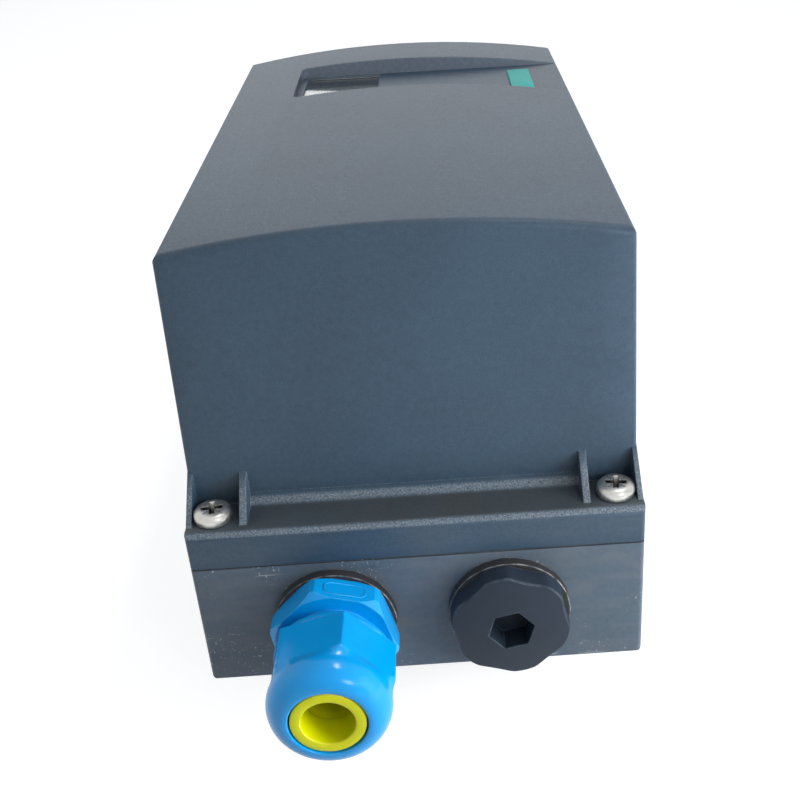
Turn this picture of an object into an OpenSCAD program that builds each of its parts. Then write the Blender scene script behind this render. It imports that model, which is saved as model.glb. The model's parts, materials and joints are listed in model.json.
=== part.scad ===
// Electropneumatic valve positioner in a moulded housing.
// Origin: feedback shaft axis on the rear mounting face. +Y runs from the cable entries
// to the display end, +Z points out of the front cover. Millimetres.

/* [Housing] */
// Width of the housing
housing_w = 95; // [90:0.5:110]
// Length of the housing
housing_l = 184.5; // [180:0.5:200]
// Height of the base, up to the parting line
parting_z = 30; // [30:0.5:34]
// Wall of the base
base_wall = 4; // [3.5:0.1:4.5]
// Floor of the base
base_floor = 5; // [4.5:0.1:6]
// Radius of the upright corners
corner_r = 1; // [0.6:0.1:2]
// Depth of the cored pockets in the rear face
rear_pocket_depth = 2; // [1:0.1:3]
// Radius of the rear face's long edges
rear_edge_r = 1; // [0.5:0.1:1.5]

/* [Cover] */
// Height of the cover's flange above the parting line
flange_h = 8.5; // [7:0.1:10]
// Depth of the screw ledge at each end
ledge_d = 11.2; // [10.5:0.1:12.5]
// Wall of the cover
cover_wall = 3; // [2.5:0.1:3.2]
// Height of the cover's top corners above the rear face
cover_top_z = 94.3; // [93:0.1:105]
// Rise of the crown across the cover
crown_h = 4.1; // [3:0.1:6]
// Draft of the cover's long walls in degrees
side_draft = 1; // [0.5:0.1:1.5]
// Draft of the cover's end walls in degrees
end_draft = 2; // [1:0.1:2.5]
// Radius of the cover's top edges
edge_r = 1.8; // [1:0.1:2.5]
// Radius of the hollow between the ledge and the end wall
ledge_fillet_r = 2.5; // [1.5:0.1:3]
// Thickness of the ribs beside the screws
rib_t = 1.5; // [1:0.1:2]
// Height of the ribs above the ledge
rib_h = 7.5; // [5:0.1:9]
// Distance of the inner ribs from the middle
rib_x = 35.7; // [35:0.1:36.5]

/* [Display] */
// Length of the display recess along the housing
recess_l = 32.5; // [30:0.1:34]
// Distance of the recess's middle from the display end
recess_end = 51.25; // [49:0.25:53]
// Left wall of the recess
recess_x = -28.5; // [-30:0.1:-27]
// Width of the window
window_w = 21; // [18:0.1:22]
// Length of the window
window_l = 30.5; // [26:0.1:31]
// Thickness of the window's pane
pane_t = 2; // [1.6:0.1:2.2]

/* [Cover screws] */
// Distance of the screws from the housing's sides
screw_side = 5.4; // [5.2:0.1:6]
// Distance of the screws from the housing's ends
screw_end = 6; // [5.5:0.1:6.5]
// Radius of the screw thread
screw_r = 2; // [1.5:0.1:2.1]
// Radius of the screw head
head_r = 4.1; // [3.5:0.1:4.2]
// Height of the screw head
head_h = 2.8; // [2:0.1:3.2]

/* [Cable entries] */
// Distance of each entry from the middle
entry_x = 18.5; // [17.5:0.25:20]
// Height of the entries above the rear face
entry_z = 14.9; // [14.5:0.1:16]
// Radius of the entry thread
entry_r = 10; // [9.5:0.1:10.2]
// Outer radius of the sealing rings
ring_r = 13; // [12.8:0.1:13.5]
// Thickness of the sealing rings
ring_t = 2.2; // [2:0.1:3]
// Gland hexagon across flats
gland_af = 24; // [23:0.1:25]
// Gland nut across flats
nut_af = 22.4; // [21.8:0.1:23]
// Bore of the gland's seal, radius
seal_bore_r = 5.3; // [4:0.1:5.8]
// Radius of the plug's head
plug_r = 12.7; // [12:0.1:13]
// Plug socket across flats
socket_af = 8.6; // [8:0.1:9.5]

/* [Feedback] */
// Radius of the shaft's free end
shaft_r = 4; // [3.5:0.1:4.3]
// Length of the shaft's free end
shaft_len = 13; // [10:0.5:20]
// Radius of the shaft's journal
journal_r = 5; // [4.8:0.1:5.5]
// Gear module
gear_module = 0.8; // [0.75:0.01:0.82]
// Teeth of the drive gear
gear_teeth = 54; // [52:2:54]
// Teeth of the pinion
pinion_teeth = 18; // [17:1:19]
// Backlash between the teeth
backlash = 0.2; // [0.1:0.05:0.3]

/* [Mounting] */
// Hole spacing across the housing
mount_x = 50; // [46:1:54]
// Hole spacing along the housing
mount_y = 50; // [46:1:54]
// Hole radius of the threaded inserts
mount_hole_r = 2.5; // [2:0.1:3]

/* [Pneumatics] */
// Spacing of the ports
port_pitch = 29; // [27:0.5:30]
// Radius of the port thread
port_r = 5.9; // [5.5:0.1:6.5]
// Depth of the port thread
port_depth = 12; // [10:0.5:14]
// Height of the ports above the rear face
port_z = 15.5; // [15:0.1:16]

/* [Electronics] */
// Height of the tray
tray_z = 42; // [42:0.5:43]
// Pitch of the terminals
terminal_pitch = 5.08; // [5:0.02:5.2]
// Radius of the keys
key_r = 4; // [3:0.1:4.5]
// Pitch of the keys
key_pitch = 11; // [10.5:0.1:12]

/* [Hidden] */
$fn = 64;

// Working clearances
slip = 0.05;
free = 0.3;
past = 1;

// Colours
housing_colour = [0.22, 0.28, 0.34];
steel_colour = [0.75, 0.76, 0.78];
brass_colour = [0.78, 0.62, 0.32];
rubber_colour = [0.12, 0.12, 0.12];
gland_colour = [0.0, 0.5, 0.9];
seal_colour = [0.85, 0.85, 0.05];
board_colour = [0.05, 0.35, 0.18];
plastic_colour = [0.55, 0.57, 0.6];
yellow_colour = [0.95, 0.75, 0.1];
alloy_colour = [0.7, 0.71, 0.73];

// Cover form
half_w = housing_w / 2;
half_l = housing_l / 2;
ledge_z = parting_z + flange_h;
wall_y = half_l - ledge_d;
side_slope = tan(side_draft);
end_slope = tan(end_draft);
wall_inset = 0.05;
wall_root_z = ledge_z - 1.2;
top_half_w = half_w - wall_inset - (cover_top_z - ledge_z) * side_slope;
top_half_l = wall_y - (cover_top_z - ledge_z) * end_slope;
crown_r = (pow(top_half_w, 2) + pow(crown_h, 2)) / (2 * crown_h);
crown_axis_z = cover_top_z + crown_h - crown_r;
rib_foot_y = half_l - 2.9;
side_rib_t = 1.2;
screw_x = half_w - screw_side;
screw_y = half_l - screw_end;
screw_boss_r = 5;
screw_len = 14;
screw_hole_r = screw_r + 0.2;
cover_insert_r = screw_r + 0.8;
cover_insert_l = 9;
small_head_r = 2.8;
small_head_h = 2;

// Recess, window and what lies below them
recess_t = 2.5;
recess_corner_r = 2;
recess_y = half_l - recess_end;
window_x0 = recess_x + 1.5;
window_x = window_x0 + window_w / 2;
window_y = recess_y;
pane_lip = 1.8;
pane_lip_t = pane_t - 0.8;
recess_under_z = cover_top_z - recess_t;

// Gasket and rim
gasket_w = 1.8;
gasket_h = 1.8;
gasket_side = 1.9;
gasket_end = ledge_d + cover_wall / 2;
gasket_corner_r = 2.5;
shelf_d = ledge_d + cover_wall + 1;
shelf_t = 5;
rim_w = housing_w - 2 * base_wall;
rim_step = 0.4;

// Cable entries: distances outward from the end face
entry_boss_r = 13;
entry_boss_l = 12;
spigot_l = 12;
hex_t = 6.3;
hex_blunt = 0.3;
neck_end = 20;
neck_r = entry_r - 0.8;
finger_end = 24.5;
nut_start = 12.8;
nut_collar_t = 1;
nut_flat_end = 23.5;
nut_cap_start = 26;
nut_end = 31.2;
nut_mouth_r = 7.85;
seal_mouth_r = nut_mouth_r - free;
seal_body_r = seal_bore_r + 2.6;
seal_start = 12;
seal_end = nut_end - 0.3;
plug_head_t = 6;
plug_dome_h = 1.6;
plug_hollow = 0.9;
socket_depth = 6;

// Feedback gear train: heights above the rear face
journal_proud = 0.5;
flat_depth = 0.6;
shaft_seal_r = 9;
shaft_seal_t = 3.2;
bush_r = 7.5;
bush_top = 12;
gear_z = 13;
gear_t = 5;
collar_r = 8;
spring_t = 1.5;
collar_t = 2;
collar_z = gear_z + gear_t + spring_t;
bracket_z = 24;
bracket_t = 3;
upper_r = shaft_r;
ring_groove_r = shaft_r - 0.8;
retaining_t = 0.8;
retaining_z = bracket_z + bracket_t + free;
retaining_r = shaft_r + 2.5;
wheel_z = retaining_z + retaining_t + free;
wheel_t = 5;
wheel_r = 9;
pressure_angle = 20;
pot_x = -gear_module * (gear_teeth + pinion_teeth) / 2;
pot_r = 9.5;
pot_h = 9;
pot_neck_r = 4.5;
pot_neck_l = 3;
pot_shaft_r = 3;
pot_bore_l = 8;
tag_w = 10;
tag_d = 2;
tag_h = 4;
bracket_leg_r = 3.5;
bracket_legs = [[pot_x - 9, 12], [pot_x - 9, -12], [8, 27], [8, -27]];
bracket_screw_r = 1.5;
bracket_bite = 7;
insert_r = 4.5;
insert_l = 9;
insert_boss_r = 7.5;
insert_boss_z = 11;

// Pneumatics
block_d = 22.5;
block_x0 = half_w - block_d;
block_top = 28;
block_half_l = 2 * port_pitch;
block_gasket_t = 1;
wall_x = half_w - base_wall;
block_x1 = wall_x - block_gasket_t;
nose_x = half_w - 0.2;
nose_half_l = block_half_l - 2.5;
nose_z0 = base_floor + 1.5;
nose_z1 = parting_z - shelf_t - 0.5;
nose_gap = 0.5;
port_ys = [-1.5 * port_pitch, -0.5 * port_pitch, 0.5 * port_pitch];
exhaust_y = 1.5 * port_pitch;
spot_r = 9;
spot_t = 0.4;
screen_t = 1;
screen_r = port_r - 1.4;
restrictor_r = 2.5;
restrictor_l = 10;
block_screw_x = block_x0 + 5;
block_screw_y = block_half_l - 4;
block_screw_bite = 2;
block_head_r = 3.6;
block_head_h = 2.4;
purge_w = 8;
purge_l = 10;
purge_h = 4;

// Electronics: heights above the rear face and plan sizes
tray_t = 2.5;
tray_half_w = half_w - cover_wall - 3.5;
wiring_l = 22;
tray_y0 = -wall_y + cover_wall + wiring_l;
tray_y1 = wall_y - cover_wall - 4;
board_t = 1.6;
standoff_h = 2.5;
standoff_r = 3;
moulded_r = 3;
board_z = tray_z + tray_t + standoff_h;
board_half_w = tray_half_w - 5;
board_y0 = tray_y0 + 2;
board_y1 = tray_y1 - 4;
standoffs = [for (x = [-1, 1]) for (y = [board_y0 + 16, board_y1 - 12]) [x * (board_half_w - 4), y]];
module_y0 = -22;
module_y1 = tray_y1 - 1;
module_half_w = tray_half_w - 1;
module_wall = 2;
module_top = cover_top_z - 10.3;
post_r = 4.5;
tray_screw_r = 1.5;
tray_bite = 9;
near_post = [18, tray_y0 + 6];
far_post = [module_half_w - module_wall - small_head_r - 2 * free,
    module_y1 - module_wall - small_head_r - 2 * free];
posts = [for (s = [-1, 1]) for (p = [near_post, far_post]) [s * p[0], p[1]]];
display_board_z = module_top - 9.5;
display_top = recess_under_z - pane_lip_t - 0.8;
key_x = 10;
key_flange_z = module_top - module_wall - 2;
key_flange_t = 1.5;
key_flange_r = key_r + 1;
key_travel = 1;
key_top = module_top + 3.5;
spacer_h = 10;
option_z = board_z + board_t + spacer_h;
spacer_r = 2.5;
spacer_x = board_half_w - 9;
spacer_inset = 8;
spacer_edge = 1.5;
chip_w = 14;
chip_h = 2.2;
chip_pitch = 24;
chip_inset = 12;
capacitor_r = 4;
capacitor_h = 8;
capacitor_pitch = 10;
capacitor_end = 26;
coil_w = 12;
coil_l = 18;
coil_h = 5;
driver_w = 4;
driver_h = 1.5;
driver_pitch = 6;
driver_side = 16;
switch_w = 6;
switch_h = 1.8;
switch_stem_r = 1.7;
display_rim = 2;
display_frame = 1.5;
display_sink = 0.5;
terminal_count = 12;
option_count = 9;
terminal_d = 12;
terminal_h = 11;
clamp_y = terminal_d * 0.6;
clamp_d = 3;
clamp_r = 1.9;
terminal_y = board_y0 + 2;
option_terminal_y = terminal_y + terminal_d + 2;
lead_t = 0.8;
lead_w = 8;
lead_slack = 0.4;
valve_side = 2;
valve_x0 = block_x0 + valve_side;
valve_base_h = 7;
valve_cap_h = 4;
valve_top = block_top + valve_base_h + valve_cap_h;
valve_y0 = port_ys[0] - 1.5;
valve_y1 = port_ys[1] + 17.5;
valve_cap_gap = 3;
fin_pitch = 4;
fin_w = 1.5;
fin_d = 1;
valve_lead_x = valve_x0 + 6;

// A rectangle with round corners, centred
module rounded_rect(w, l, r) {
    square([w - 2 * r, l], center = true);
    square([w, l - 2 * r], center = true);
    for (x = [-1, 1]) for (y = [-1, 1])
        translate([x * (w / 2 - r), y * (l / 2 - r)]) circle(r);
}

// A block between two corners
module block(low, high) {
    translate(low) cube(high - low);
}

// A profile drawn in Y and Z, extruded along X
module along_x(x0, x1) {
    translate([x0, 0, 0]) rotate([90, 0, 90]) linear_extrude(x1 - x0) children();
}

// A profile drawn in X and Z, extruded along Y
module along_y(y0, y1) {
    translate([0, y1, 0]) rotate([90, 0, 0]) linear_extrude(y1 - y0) children();
}

// Children repeated at the four cover screws
module at_cover_screws() {
    for (x = [-1, 1]) for (y = [-1, 1]) translate([x * screw_x, y * screw_y, 0]) children();
}

// Children repeated at the four rear mounting holes
module at_mounts() {
    for (x = [-1, 1]) for (y = [-1, 1]) translate([x * mount_x / 2, y * mount_y / 2, 0]) children();
}

// Children repeated at each point of a list
module at_points(points) {
    for (p = points) translate([p[0], p[1], 0]) children();
}

// Local +Z points out of the cable-entry end
module at_entry(x) {
    translate([x, -half_l, entry_z]) rotate([90, 0, 0]) children();
}

// Local +Z points out of the port side
module at_port(y) {
    translate([nose_x, y, port_z]) rotate([0, 90, 0]) children();
}

// A hexagon across flats
module hexagon(af) {
    circle(af / sqrt(3), $fn = 6);
}

// A tube between two heights
module tube(r_out, r_in, z0, z1) {
    translate([0, 0, z0]) difference() {
        cylinder(z1 - z0, r = r_out);
        translate([0, 0, -past]) cylinder(z1 - z0 + 2 * past, r = r_in);
    }
}

// Involute angle in degrees
function involute(a) = tan(a) * 180 / PI - a;

// Half angle of a gear tooth at a radius, for a base circle and a pitch half angle
function tooth_angle(r, base, half) =
    half + involute(pressure_angle) - (r > base ? involute(acos(base / r)) : 0);

// Outline of an involute gear
module gear_outline(teeth) {
    pitch_r = gear_module * teeth / 2;
    base = pitch_r * cos(pressure_angle);
    outer = pitch_r + gear_module;
    root = pitch_r - 1.25 * gear_module;
    half = 90 / teeth - backlash / 4 / pitch_r * 180 / PI;
    steps = 4;
    flank_r = max(base, root);
    radii = concat([root], [for (i = [0 : steps]) flank_r + (outer - flank_r) * i / steps]);
    flank = [for (r = radii) [r, tooth_angle(r, base, half)]];
    back = [for (i = [len(flank) - 1 : -1 : 0]) flank[i]];
    points = [for (t = [0 : teeth - 1])
        each concat(
            [for (p = flank) [p[0], 360 / teeth * t - p[1]]],
            [for (p = back) [p[0], 360 / teeth * t + p[1]]])];
    polygon([for (p = points) [p[0] * cos(p[1]), p[0] * sin(p[1])]]);
}

// A screw standing on z = 0: round-edged head with a cross recess, thread below
module pan_screw(r, head, height, length) {
    edge = height / 2;
    slot = head * 0.24;
    reach = head * 0.55;
    difference() {
        union() {
            rotate_extrude() union() {
                polygon([[0, 0], [head, 0], [head, height - edge], [head - edge, height], [0, height]]);
                translate([head - edge, height - edge]) circle(edge);
            }
            translate([0, 0, -length]) cylinder(length + height / 3, r = r);
        }
        for (a = [0, 90]) rotate([0, 0, a])
            translate([-reach, -slot / 2, height * 0.45]) cube([2 * reach, slot, height]);
    }
}

// Side walls of the cover: drafted, with round long edges under the crown
module cover_side_profile() {
    reach = top_half_w + cover_top_z * side_slope - edge_r / cos(side_draft);
    qa = side_slope * side_slope + 1;
    qb = -2 * (reach * side_slope + crown_axis_z);
    qc = reach * reach + pow(crown_axis_z, 2) - pow(crown_r - edge_r, 2);
    edge_z = (-qb + sqrt(qb * qb - 4 * qa * qc)) / (2 * qa);
    edge_x = reach - edge_z * side_slope;
    out = crown_r / (crown_r - edge_r);
    crown_x = edge_x * out;
    crown_z = crown_axis_z + (edge_z - crown_axis_z) * out;
    wall_px = edge_x + edge_r * cos(side_draft);
    wall_pz = edge_z + edge_r * sin(side_draft);
    foot_x = top_half_w + (cover_top_z - wall_root_z) * side_slope;
    high = cover_top_z + 2 * crown_h;
    right = [[foot_x, wall_root_z], [wall_px, wall_pz], [crown_x, crown_z], [crown_x, high]];
    left = [for (i = [3 : -1 : 0]) [-right[i][0], right[i][1]]];
    polygon(concat(right, left));
    for (s = [-1, 1]) translate([s * edge_x, edge_z]) circle(edge_r);
}

// Radial profile of the crown: drafted ends with round edges
module cover_crown_profile() {
    depth = cover_top_z + crown_h - parting_z + crown_h + past;
    end_y = top_half_l + edge_r * end_slope - edge_r / cos(end_draft);
    foot_y = top_half_l + depth * end_slope;
    inner_r = crown_r - depth;
    steps = 6;
    edge = [for (i = [0 : steps]) let (a = end_draft + (90 - end_draft) * i / steps)
        [crown_r - edge_r + edge_r * sin(a), end_y + edge_r * cos(a)]];
    upper = concat([[inner_r, foot_y]], edge);
    lower = [for (i = [len(upper) - 1 : -1 : 0]) [upper[i][0], -upper[i][1]]];
    polygon(concat(upper, lower));
}

// Cover block before hollowing: crowned, drafted and rounded, rooted in the flange
module cover_block() {
    over = 0.04;
    depth = cover_top_z - wall_root_z;
    foot_w = 2 * (top_half_w + depth * side_slope + over);
    foot_l = 2 * (top_half_l + depth * end_slope + over);
    rise = cover_top_z + crown_h + past - wall_root_z;
    intersection() {
        translate([0, 0, crown_axis_z]) rotate([90, 0, 0]) rotate_extrude() cover_crown_profile();
        along_y(-half_l, half_l) cover_side_profile();
        translate([0, 0, wall_root_z])
            linear_extrude(rise, slices = 1,
                scale = [1 - 2 * rise * side_slope / foot_w, 1 - 2 * rise * end_slope / foot_l])
                rounded_rect(foot_w, foot_l, corner_r, $fn = 32);
    }
}

// Hollow of the cover, a wall inside its outer form
module cover_hollow() {
    low = parting_z - past;
    high = cover_top_z + crown_h;
    foot_x = half_w + (ledge_z - low) * side_slope - cover_wall;
    foot_y = wall_y + (ledge_z - low) * end_slope - cover_wall;
    side_run = (high - low) * side_slope;
    end_run = (high - low) * end_slope;
    intersection() {
        along_y(-half_l, half_l)
            polygon([[-foot_x, low], [foot_x, low], [foot_x - side_run, high], [-foot_x + side_run, high]]);
        along_x(-half_w, half_w)
            polygon([[-foot_y, low], [foot_y, low], [foot_y - end_run, high], [-foot_y + end_run, high]]);
        translate([0, half_l, crown_axis_z]) rotate([90, 0, 0])
            cylinder(housing_l, r = crown_r - cover_wall);
    }
}

// Flange with the screw ledges, round along its end edges
module cover_flange() {
    end_y = half_l - edge_r;
    intersection() {
        translate([0, 0, parting_z]) linear_extrude(flange_h) rounded_rect(housing_w, housing_l, corner_r);
        along_x(-half_w, half_w) {
            polygon([[-half_l, parting_z], [half_l, parting_z], [half_l, ledge_z - edge_r],
                [end_y, ledge_z], [-end_y, ledge_z], [-half_l, ledge_z - edge_r]]);
            for (s = [-1, 1]) translate([s * end_y, ledge_z - edge_r]) circle(edge_r);
        }
    }
}

// Triangular rib standing on the ledge against the end wall, at the entry end
module ledge_rib(x0, x1) {
    root_y = wall_y - rib_h * end_slope - cover_wall / 2;
    along_x(x0, x1) polygon([[-rib_foot_y, ledge_z], [-root_y, ledge_z + rib_h + cover_wall / 2],
        [-root_y, ledge_z - past], [-rib_foot_y, ledge_z - past]]);
}

// Everything that stands on one screw ledge
module ledge_details() {
    inner = rib_x - rib_t / 2;
    intersection() {
        union() {
            for (s = [0, 1]) mirror([s, 0, 0]) {
                ledge_rib(inner, inner + rib_t);
                ledge_rib(half_w - side_rib_t, half_w);
            }
        }
        along_y(-half_l, half_l) cover_side_profile();
        linear_extrude(cover_top_z) rounded_rect(housing_w, housing_l, corner_r);
    }
    along_x(-inner - past / 2, inner + past / 2) difference() {
        translate([-wall_y - ledge_fillet_r, ledge_z - past])
            square([ledge_fillet_r + past, ledge_fillet_r + past]);
        translate([-wall_y - ledge_fillet_r, ledge_z + ledge_fillet_r]) circle(ledge_fillet_r);
    }
}

// Crowned front cover with recess, ledges, ribs and screw holes
module front_cover() {
    pocket_x = rib_x - 2.5;
    pocket_y = wall_y + flange_h * end_slope;
    color(housing_colour) difference() {
        union() {
            difference() {
                union() {
                    cover_block();
                    cover_flange();
                    for (s = [0, 1]) mirror([0, s, 0]) ledge_details();
                }
                cover_hollow();
                for (s = [0, 1]) mirror([0, s, 0])
                    block([-pocket_x, pocket_y, parting_z - past],
                        [pocket_x, half_l - cover_wall, ledge_z - cover_wall]);
            }
            intersection() {
                block([recess_x - recess_t, recess_y - recess_l / 2 - recess_t, recess_under_z],
                    [half_w, recess_y + recess_l / 2 + recess_t, cover_top_z + crown_h]);
                cover_block();
            }
        }
        recess_cut();
        window_cut();
        at_cover_screws() translate([0, 0, parting_z - past])
            cylinder(flange_h + 2 * past, r = screw_hole_r);
    }
}

// Display recess: flat floor that runs out at the right edge
module recess_cut() {
    reach = half_w - recess_x;
    translate([recess_x + reach, recess_y, cover_top_z])
        linear_extrude(2 * crown_h) rounded_rect(2 * reach, recess_l, recess_corner_r);
}

// Opening for the window, with a rebate for its lip from inside
module window_cut() {
    translate([window_x, window_y, recess_under_z - past])
        linear_extrude(recess_t + 2 * past) square([window_w, window_l], center = true);
    translate([window_x, window_y, recess_under_z - past])
        linear_extrude(past + pane_lip_t)
            square([window_w + 2 * pane_lip, window_l + 2 * pane_lip], center = true);
}

// Clear window, stepped so that its lip sits in the rebate
module display_window() {
    color([0.8, 0.85, 0.9, 0.4]) translate([window_x, window_y, recess_under_z]) {
        linear_extrude(pane_t) square([window_w - 2 * slip, window_l - 2 * slip], center = true);
        linear_extrude(pane_lip_t)
            square([window_w + 2 * pane_lip - 2 * slip, window_l + 2 * pane_lip - 2 * slip], center = true);
    }
}

// Four captive screws on the ledges
module cover_screws() {
    color(steel_colour) at_cover_screws() translate([0, 0, ledge_z])
        pan_screw(screw_r, head_r, head_h, screw_len);
}

// Brass inserts that take the cover screws
module cover_inserts() {
    color(brass_colour) at_cover_screws()
        tube(cover_insert_r, screw_r + slip, parting_z - cover_insert_l, parting_z - 0.2);
}

// Centre line frame of the gasket, with a width
module gasket_outline(w) {
    across = housing_w - 2 * gasket_side;
    along = housing_l - 2 * gasket_end;
    difference() {
        rounded_rect(across + w, along + w, gasket_corner_r);
        rounded_rect(across - w, along - w, gasket_corner_r - w / 2);
    }
}

// Seal between base and cover
module cover_gasket() {
    color(rubber_colour) translate([0, 0, parting_z - gasket_h])
        linear_extrude(gasket_h) gasket_outline(gasket_w);
}

// Hollow of the base: full length under the end shelves, shorter at the rim
module base_hollow() {
    block([-rim_w / 2, -half_l + base_wall, base_floor],
        [rim_w / 2, half_l - base_wall, parting_z - shelf_t]);
    block([-rim_w / 2, -half_l + shelf_d, base_floor],
        [rim_w / 2, half_l - shelf_d, parting_z + past]);
}

// Cored pockets in the rear face, two rows of four at each end
module rear_pockets() {
    rib = 3;
    edge = 5;
    columns = 4;
    pocket_w = (housing_w - 2 * edge - (columns - 1) * rib) / columns;
    zone_0 = mount_y / 2 + insert_boss_r + 8;
    pocket_l = (half_l - edge - zone_0 - rib) / 2;
    for (s = [0, 1]) mirror([0, s, 0])
        for (i = [0 : columns - 1]) for (j = [0, 1])
            block([-half_w + edge + i * (pocket_w + rib), zone_0 + j * (pocket_l + rib), -past],
                [-half_w + edge + i * (pocket_w + rib) + pocket_w,
                    zone_0 + j * (pocket_l + rib) + pocket_l, rear_pocket_depth]);
}

// What the round long edges of the rear face take away
module rear_edges() {
    for (s = [0, 1]) mirror([s, 0, 0]) along_y(-half_l - past, half_l + past) difference() {
        translate([half_w - rear_edge_r, -past]) square(rear_edge_r + past);
        translate([half_w - rear_edge_r, rear_edge_r]) circle(rear_edge_r);
    }
}

// Window in the side wall for the pneumatic block's nose
module port_window() {
    block([wall_x - past, -nose_half_l - nose_gap, nose_z0 - nose_gap],
        [half_w + past, nose_half_l + nose_gap, nose_z1 + nose_gap]);
}

// Base moulding with walls, bosses and posts
module base_housing() {
    color(housing_colour) difference() {
        union() {
            difference() {
                union() {
                    linear_extrude(parting_z - rim_step) rounded_rect(housing_w, housing_l, corner_r);
                    linear_extrude(parting_z) rounded_rect(housing_w - 2 * rim_step,
                        housing_l - 2 * rim_step, corner_r - rim_step);
                }
                base_hollow();
                port_window();
            }
            at_cover_screws() translate([0, 0, base_floor - past])
                cylinder(parting_z - base_floor + past, r = screw_boss_r);
            for (x = [-1, 1]) at_entry(x * entry_x) translate([0, 0, -entry_boss_l])
                cylinder(entry_boss_l - past, r = entry_boss_r);
            at_mounts() cylinder(insert_boss_z, r = insert_boss_r);
            cylinder(bush_top - slip, r = bush_r + 3);
            at_points(bracket_legs) translate([0, 0, base_floor - past])
                cylinder(bracket_z - base_floor + past, r = bracket_leg_r);
            at_points(posts) translate([0, 0, base_floor - past])
                cylinder(tray_z - base_floor + past, r = post_r);
        }
        rear_pockets();
        rear_edges();
        translate([0, 0, parting_z - gasket_h]) linear_extrude(gasket_h + past) gasket_outline(gasket_w);
        at_cover_screws() {
            translate([0, 0, parting_z - cover_insert_l])
                cylinder(cover_insert_l + past, r = cover_insert_r);
            translate([0, 0, ledge_z - screw_len - 2]) cylinder(screw_len, r = screw_r + slip);
        }
        for (x = [-1, 1]) at_entry(x * entry_x) translate([0, 0, -entry_boss_l - past])
            cylinder(entry_boss_l + 2 * past, r = entry_r);
        at_mounts() translate([0, 0, -past]) cylinder(insert_l + past, r = insert_r);
        translate([0, 0, -past]) cylinder(shaft_seal_t + past, r = shaft_seal_r);
        translate([0, 0, -past]) cylinder(bush_top + 2 * past, r = bush_r);
        at_points(bracket_legs) translate([0, 0, bracket_z - bracket_bite])
            cylinder(bracket_bite + past, r = bracket_screw_r + slip);
        at_points(posts) translate([0, 0, tray_z - tray_bite])
            cylinder(tray_bite + past, r = tray_screw_r + slip);
        for (s = [-1, 1]) translate([block_screw_x, s * block_screw_y, base_floor - block_screw_bite])
            cylinder(block_screw_bite + past, r = screw_r + slip);
    }
}

// Brass inserts in the rear face
module mounting_inserts() {
    color(brass_colour) at_mounts() tube(insert_r, mount_hole_r, 0, insert_l);
}

// Flat rings under the gland and the plug
module sealing_ring(x) {
    at_entry(x) tube(ring_r, entry_r + slip, 0, ring_t);
}
module gland_sealing_ring() {
    color(rubber_colour) sealing_ring(-entry_x);
}
module plug_sealing_ring() {
    color(rubber_colour) sealing_ring(entry_x);
}

// Gland body: threaded spigot, hexagon, neck and clamping fingers
module gland_body() {
    corner_turn = 45;
    fingers = 12;
    hex_r = gland_af / sqrt(3) - hex_blunt;
    chamfer_r = gland_af / 2 + hex_blunt;
    finger_gap = 1.2;
    color(gland_colour) at_entry(-entry_x) difference() {
        union() {
            translate([0, 0, -spigot_l]) cylinder(spigot_l + ring_t + past, r = entry_r - slip);
            intersection() {
                translate([0, 0, ring_t]) rotate([0, 0, corner_turn])
                    linear_extrude(hex_t) hexagon(gland_af);
                rotate_extrude() polygon([[0, ring_t], [chamfer_r, ring_t], [hex_r, ring_t + 1],
                    [hex_r, ring_t + hex_t - 1.2], [chamfer_r, ring_t + hex_t], [0, ring_t + hex_t]]);
            }
            translate([0, 0, ring_t]) cylinder(neck_end - ring_t, r = neck_r);
            cylinder(finger_end, r = neck_r - 0.2);
        }
        translate([0, 0, -spigot_l - past])
            cylinder(seal_start + spigot_l + 2 * past, r = seal_bore_r + 1.8);
        translate([0, 0, seal_start]) cylinder(finger_end, r = seal_body_r + slip);
        for (i = [0 : fingers - 1]) rotate([0, 0, i * 360 / fingers])
            translate([seal_bore_r, -finger_gap / 2, neck_end + 0.5])
                cube([neck_r, finger_gap, finger_end]);
    }
}

// Yellow sealing insert
module gland_seal() {
    color(seal_colour) at_entry(-entry_x) rotate_extrude() polygon([
        [seal_bore_r, seal_start], [seal_body_r, seal_start], [seal_body_r, finger_end + 1],
        [seal_mouth_r, finger_end + 3.5], [seal_mouth_r, seal_end - 0.6], [seal_mouth_r - 0.6, seal_end],
        [seal_bore_r + 0.5, seal_end], [seal_bore_r, seal_end - 0.5]]);
}

// Hexagon of the nut, its corners chamfered where they run into the cap
module nut_hexagon() {
    corner_turn = 20;
    root = nut_start + nut_collar_t / 2;
    hex_r = nut_af / sqrt(3) - hex_blunt;
    inner_r = nut_af / 2 + hex_blunt / 2;
    chamfer_l = 2.1;
    intersection() {
        translate([0, 0, root]) rotate([0, 0, corner_turn]) linear_extrude(nut_end - root) hexagon(nut_af);
        rotate_extrude() polygon([[0, root], [hex_r, root], [hex_r, nut_flat_end],
            [inner_r, nut_flat_end + chamfer_l], [0, nut_flat_end + chamfer_l]]);
    }
}

// Round cap of the nut: a short cone out of the hexagon, then the dome
module nut_cap() {
    cone_h = 1.8;
    cone_r = nut_af / 2 - hex_blunt;
    cap_r = nut_af / sqrt(3) - hex_blunt;
    lip_r = nut_mouth_r + 0.3;
    dome_r = cap_r - lip_r;
    rotate_extrude() union() {
        polygon([[0, nut_cap_start - cone_h], [cone_r, nut_cap_start - cone_h], [cap_r, nut_cap_start],
            [cap_r, nut_end - dome_r], [lip_r, nut_end], [0, nut_end]]);
        translate([lip_r, nut_end - dome_r]) circle(dome_r);
    }
}

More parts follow.
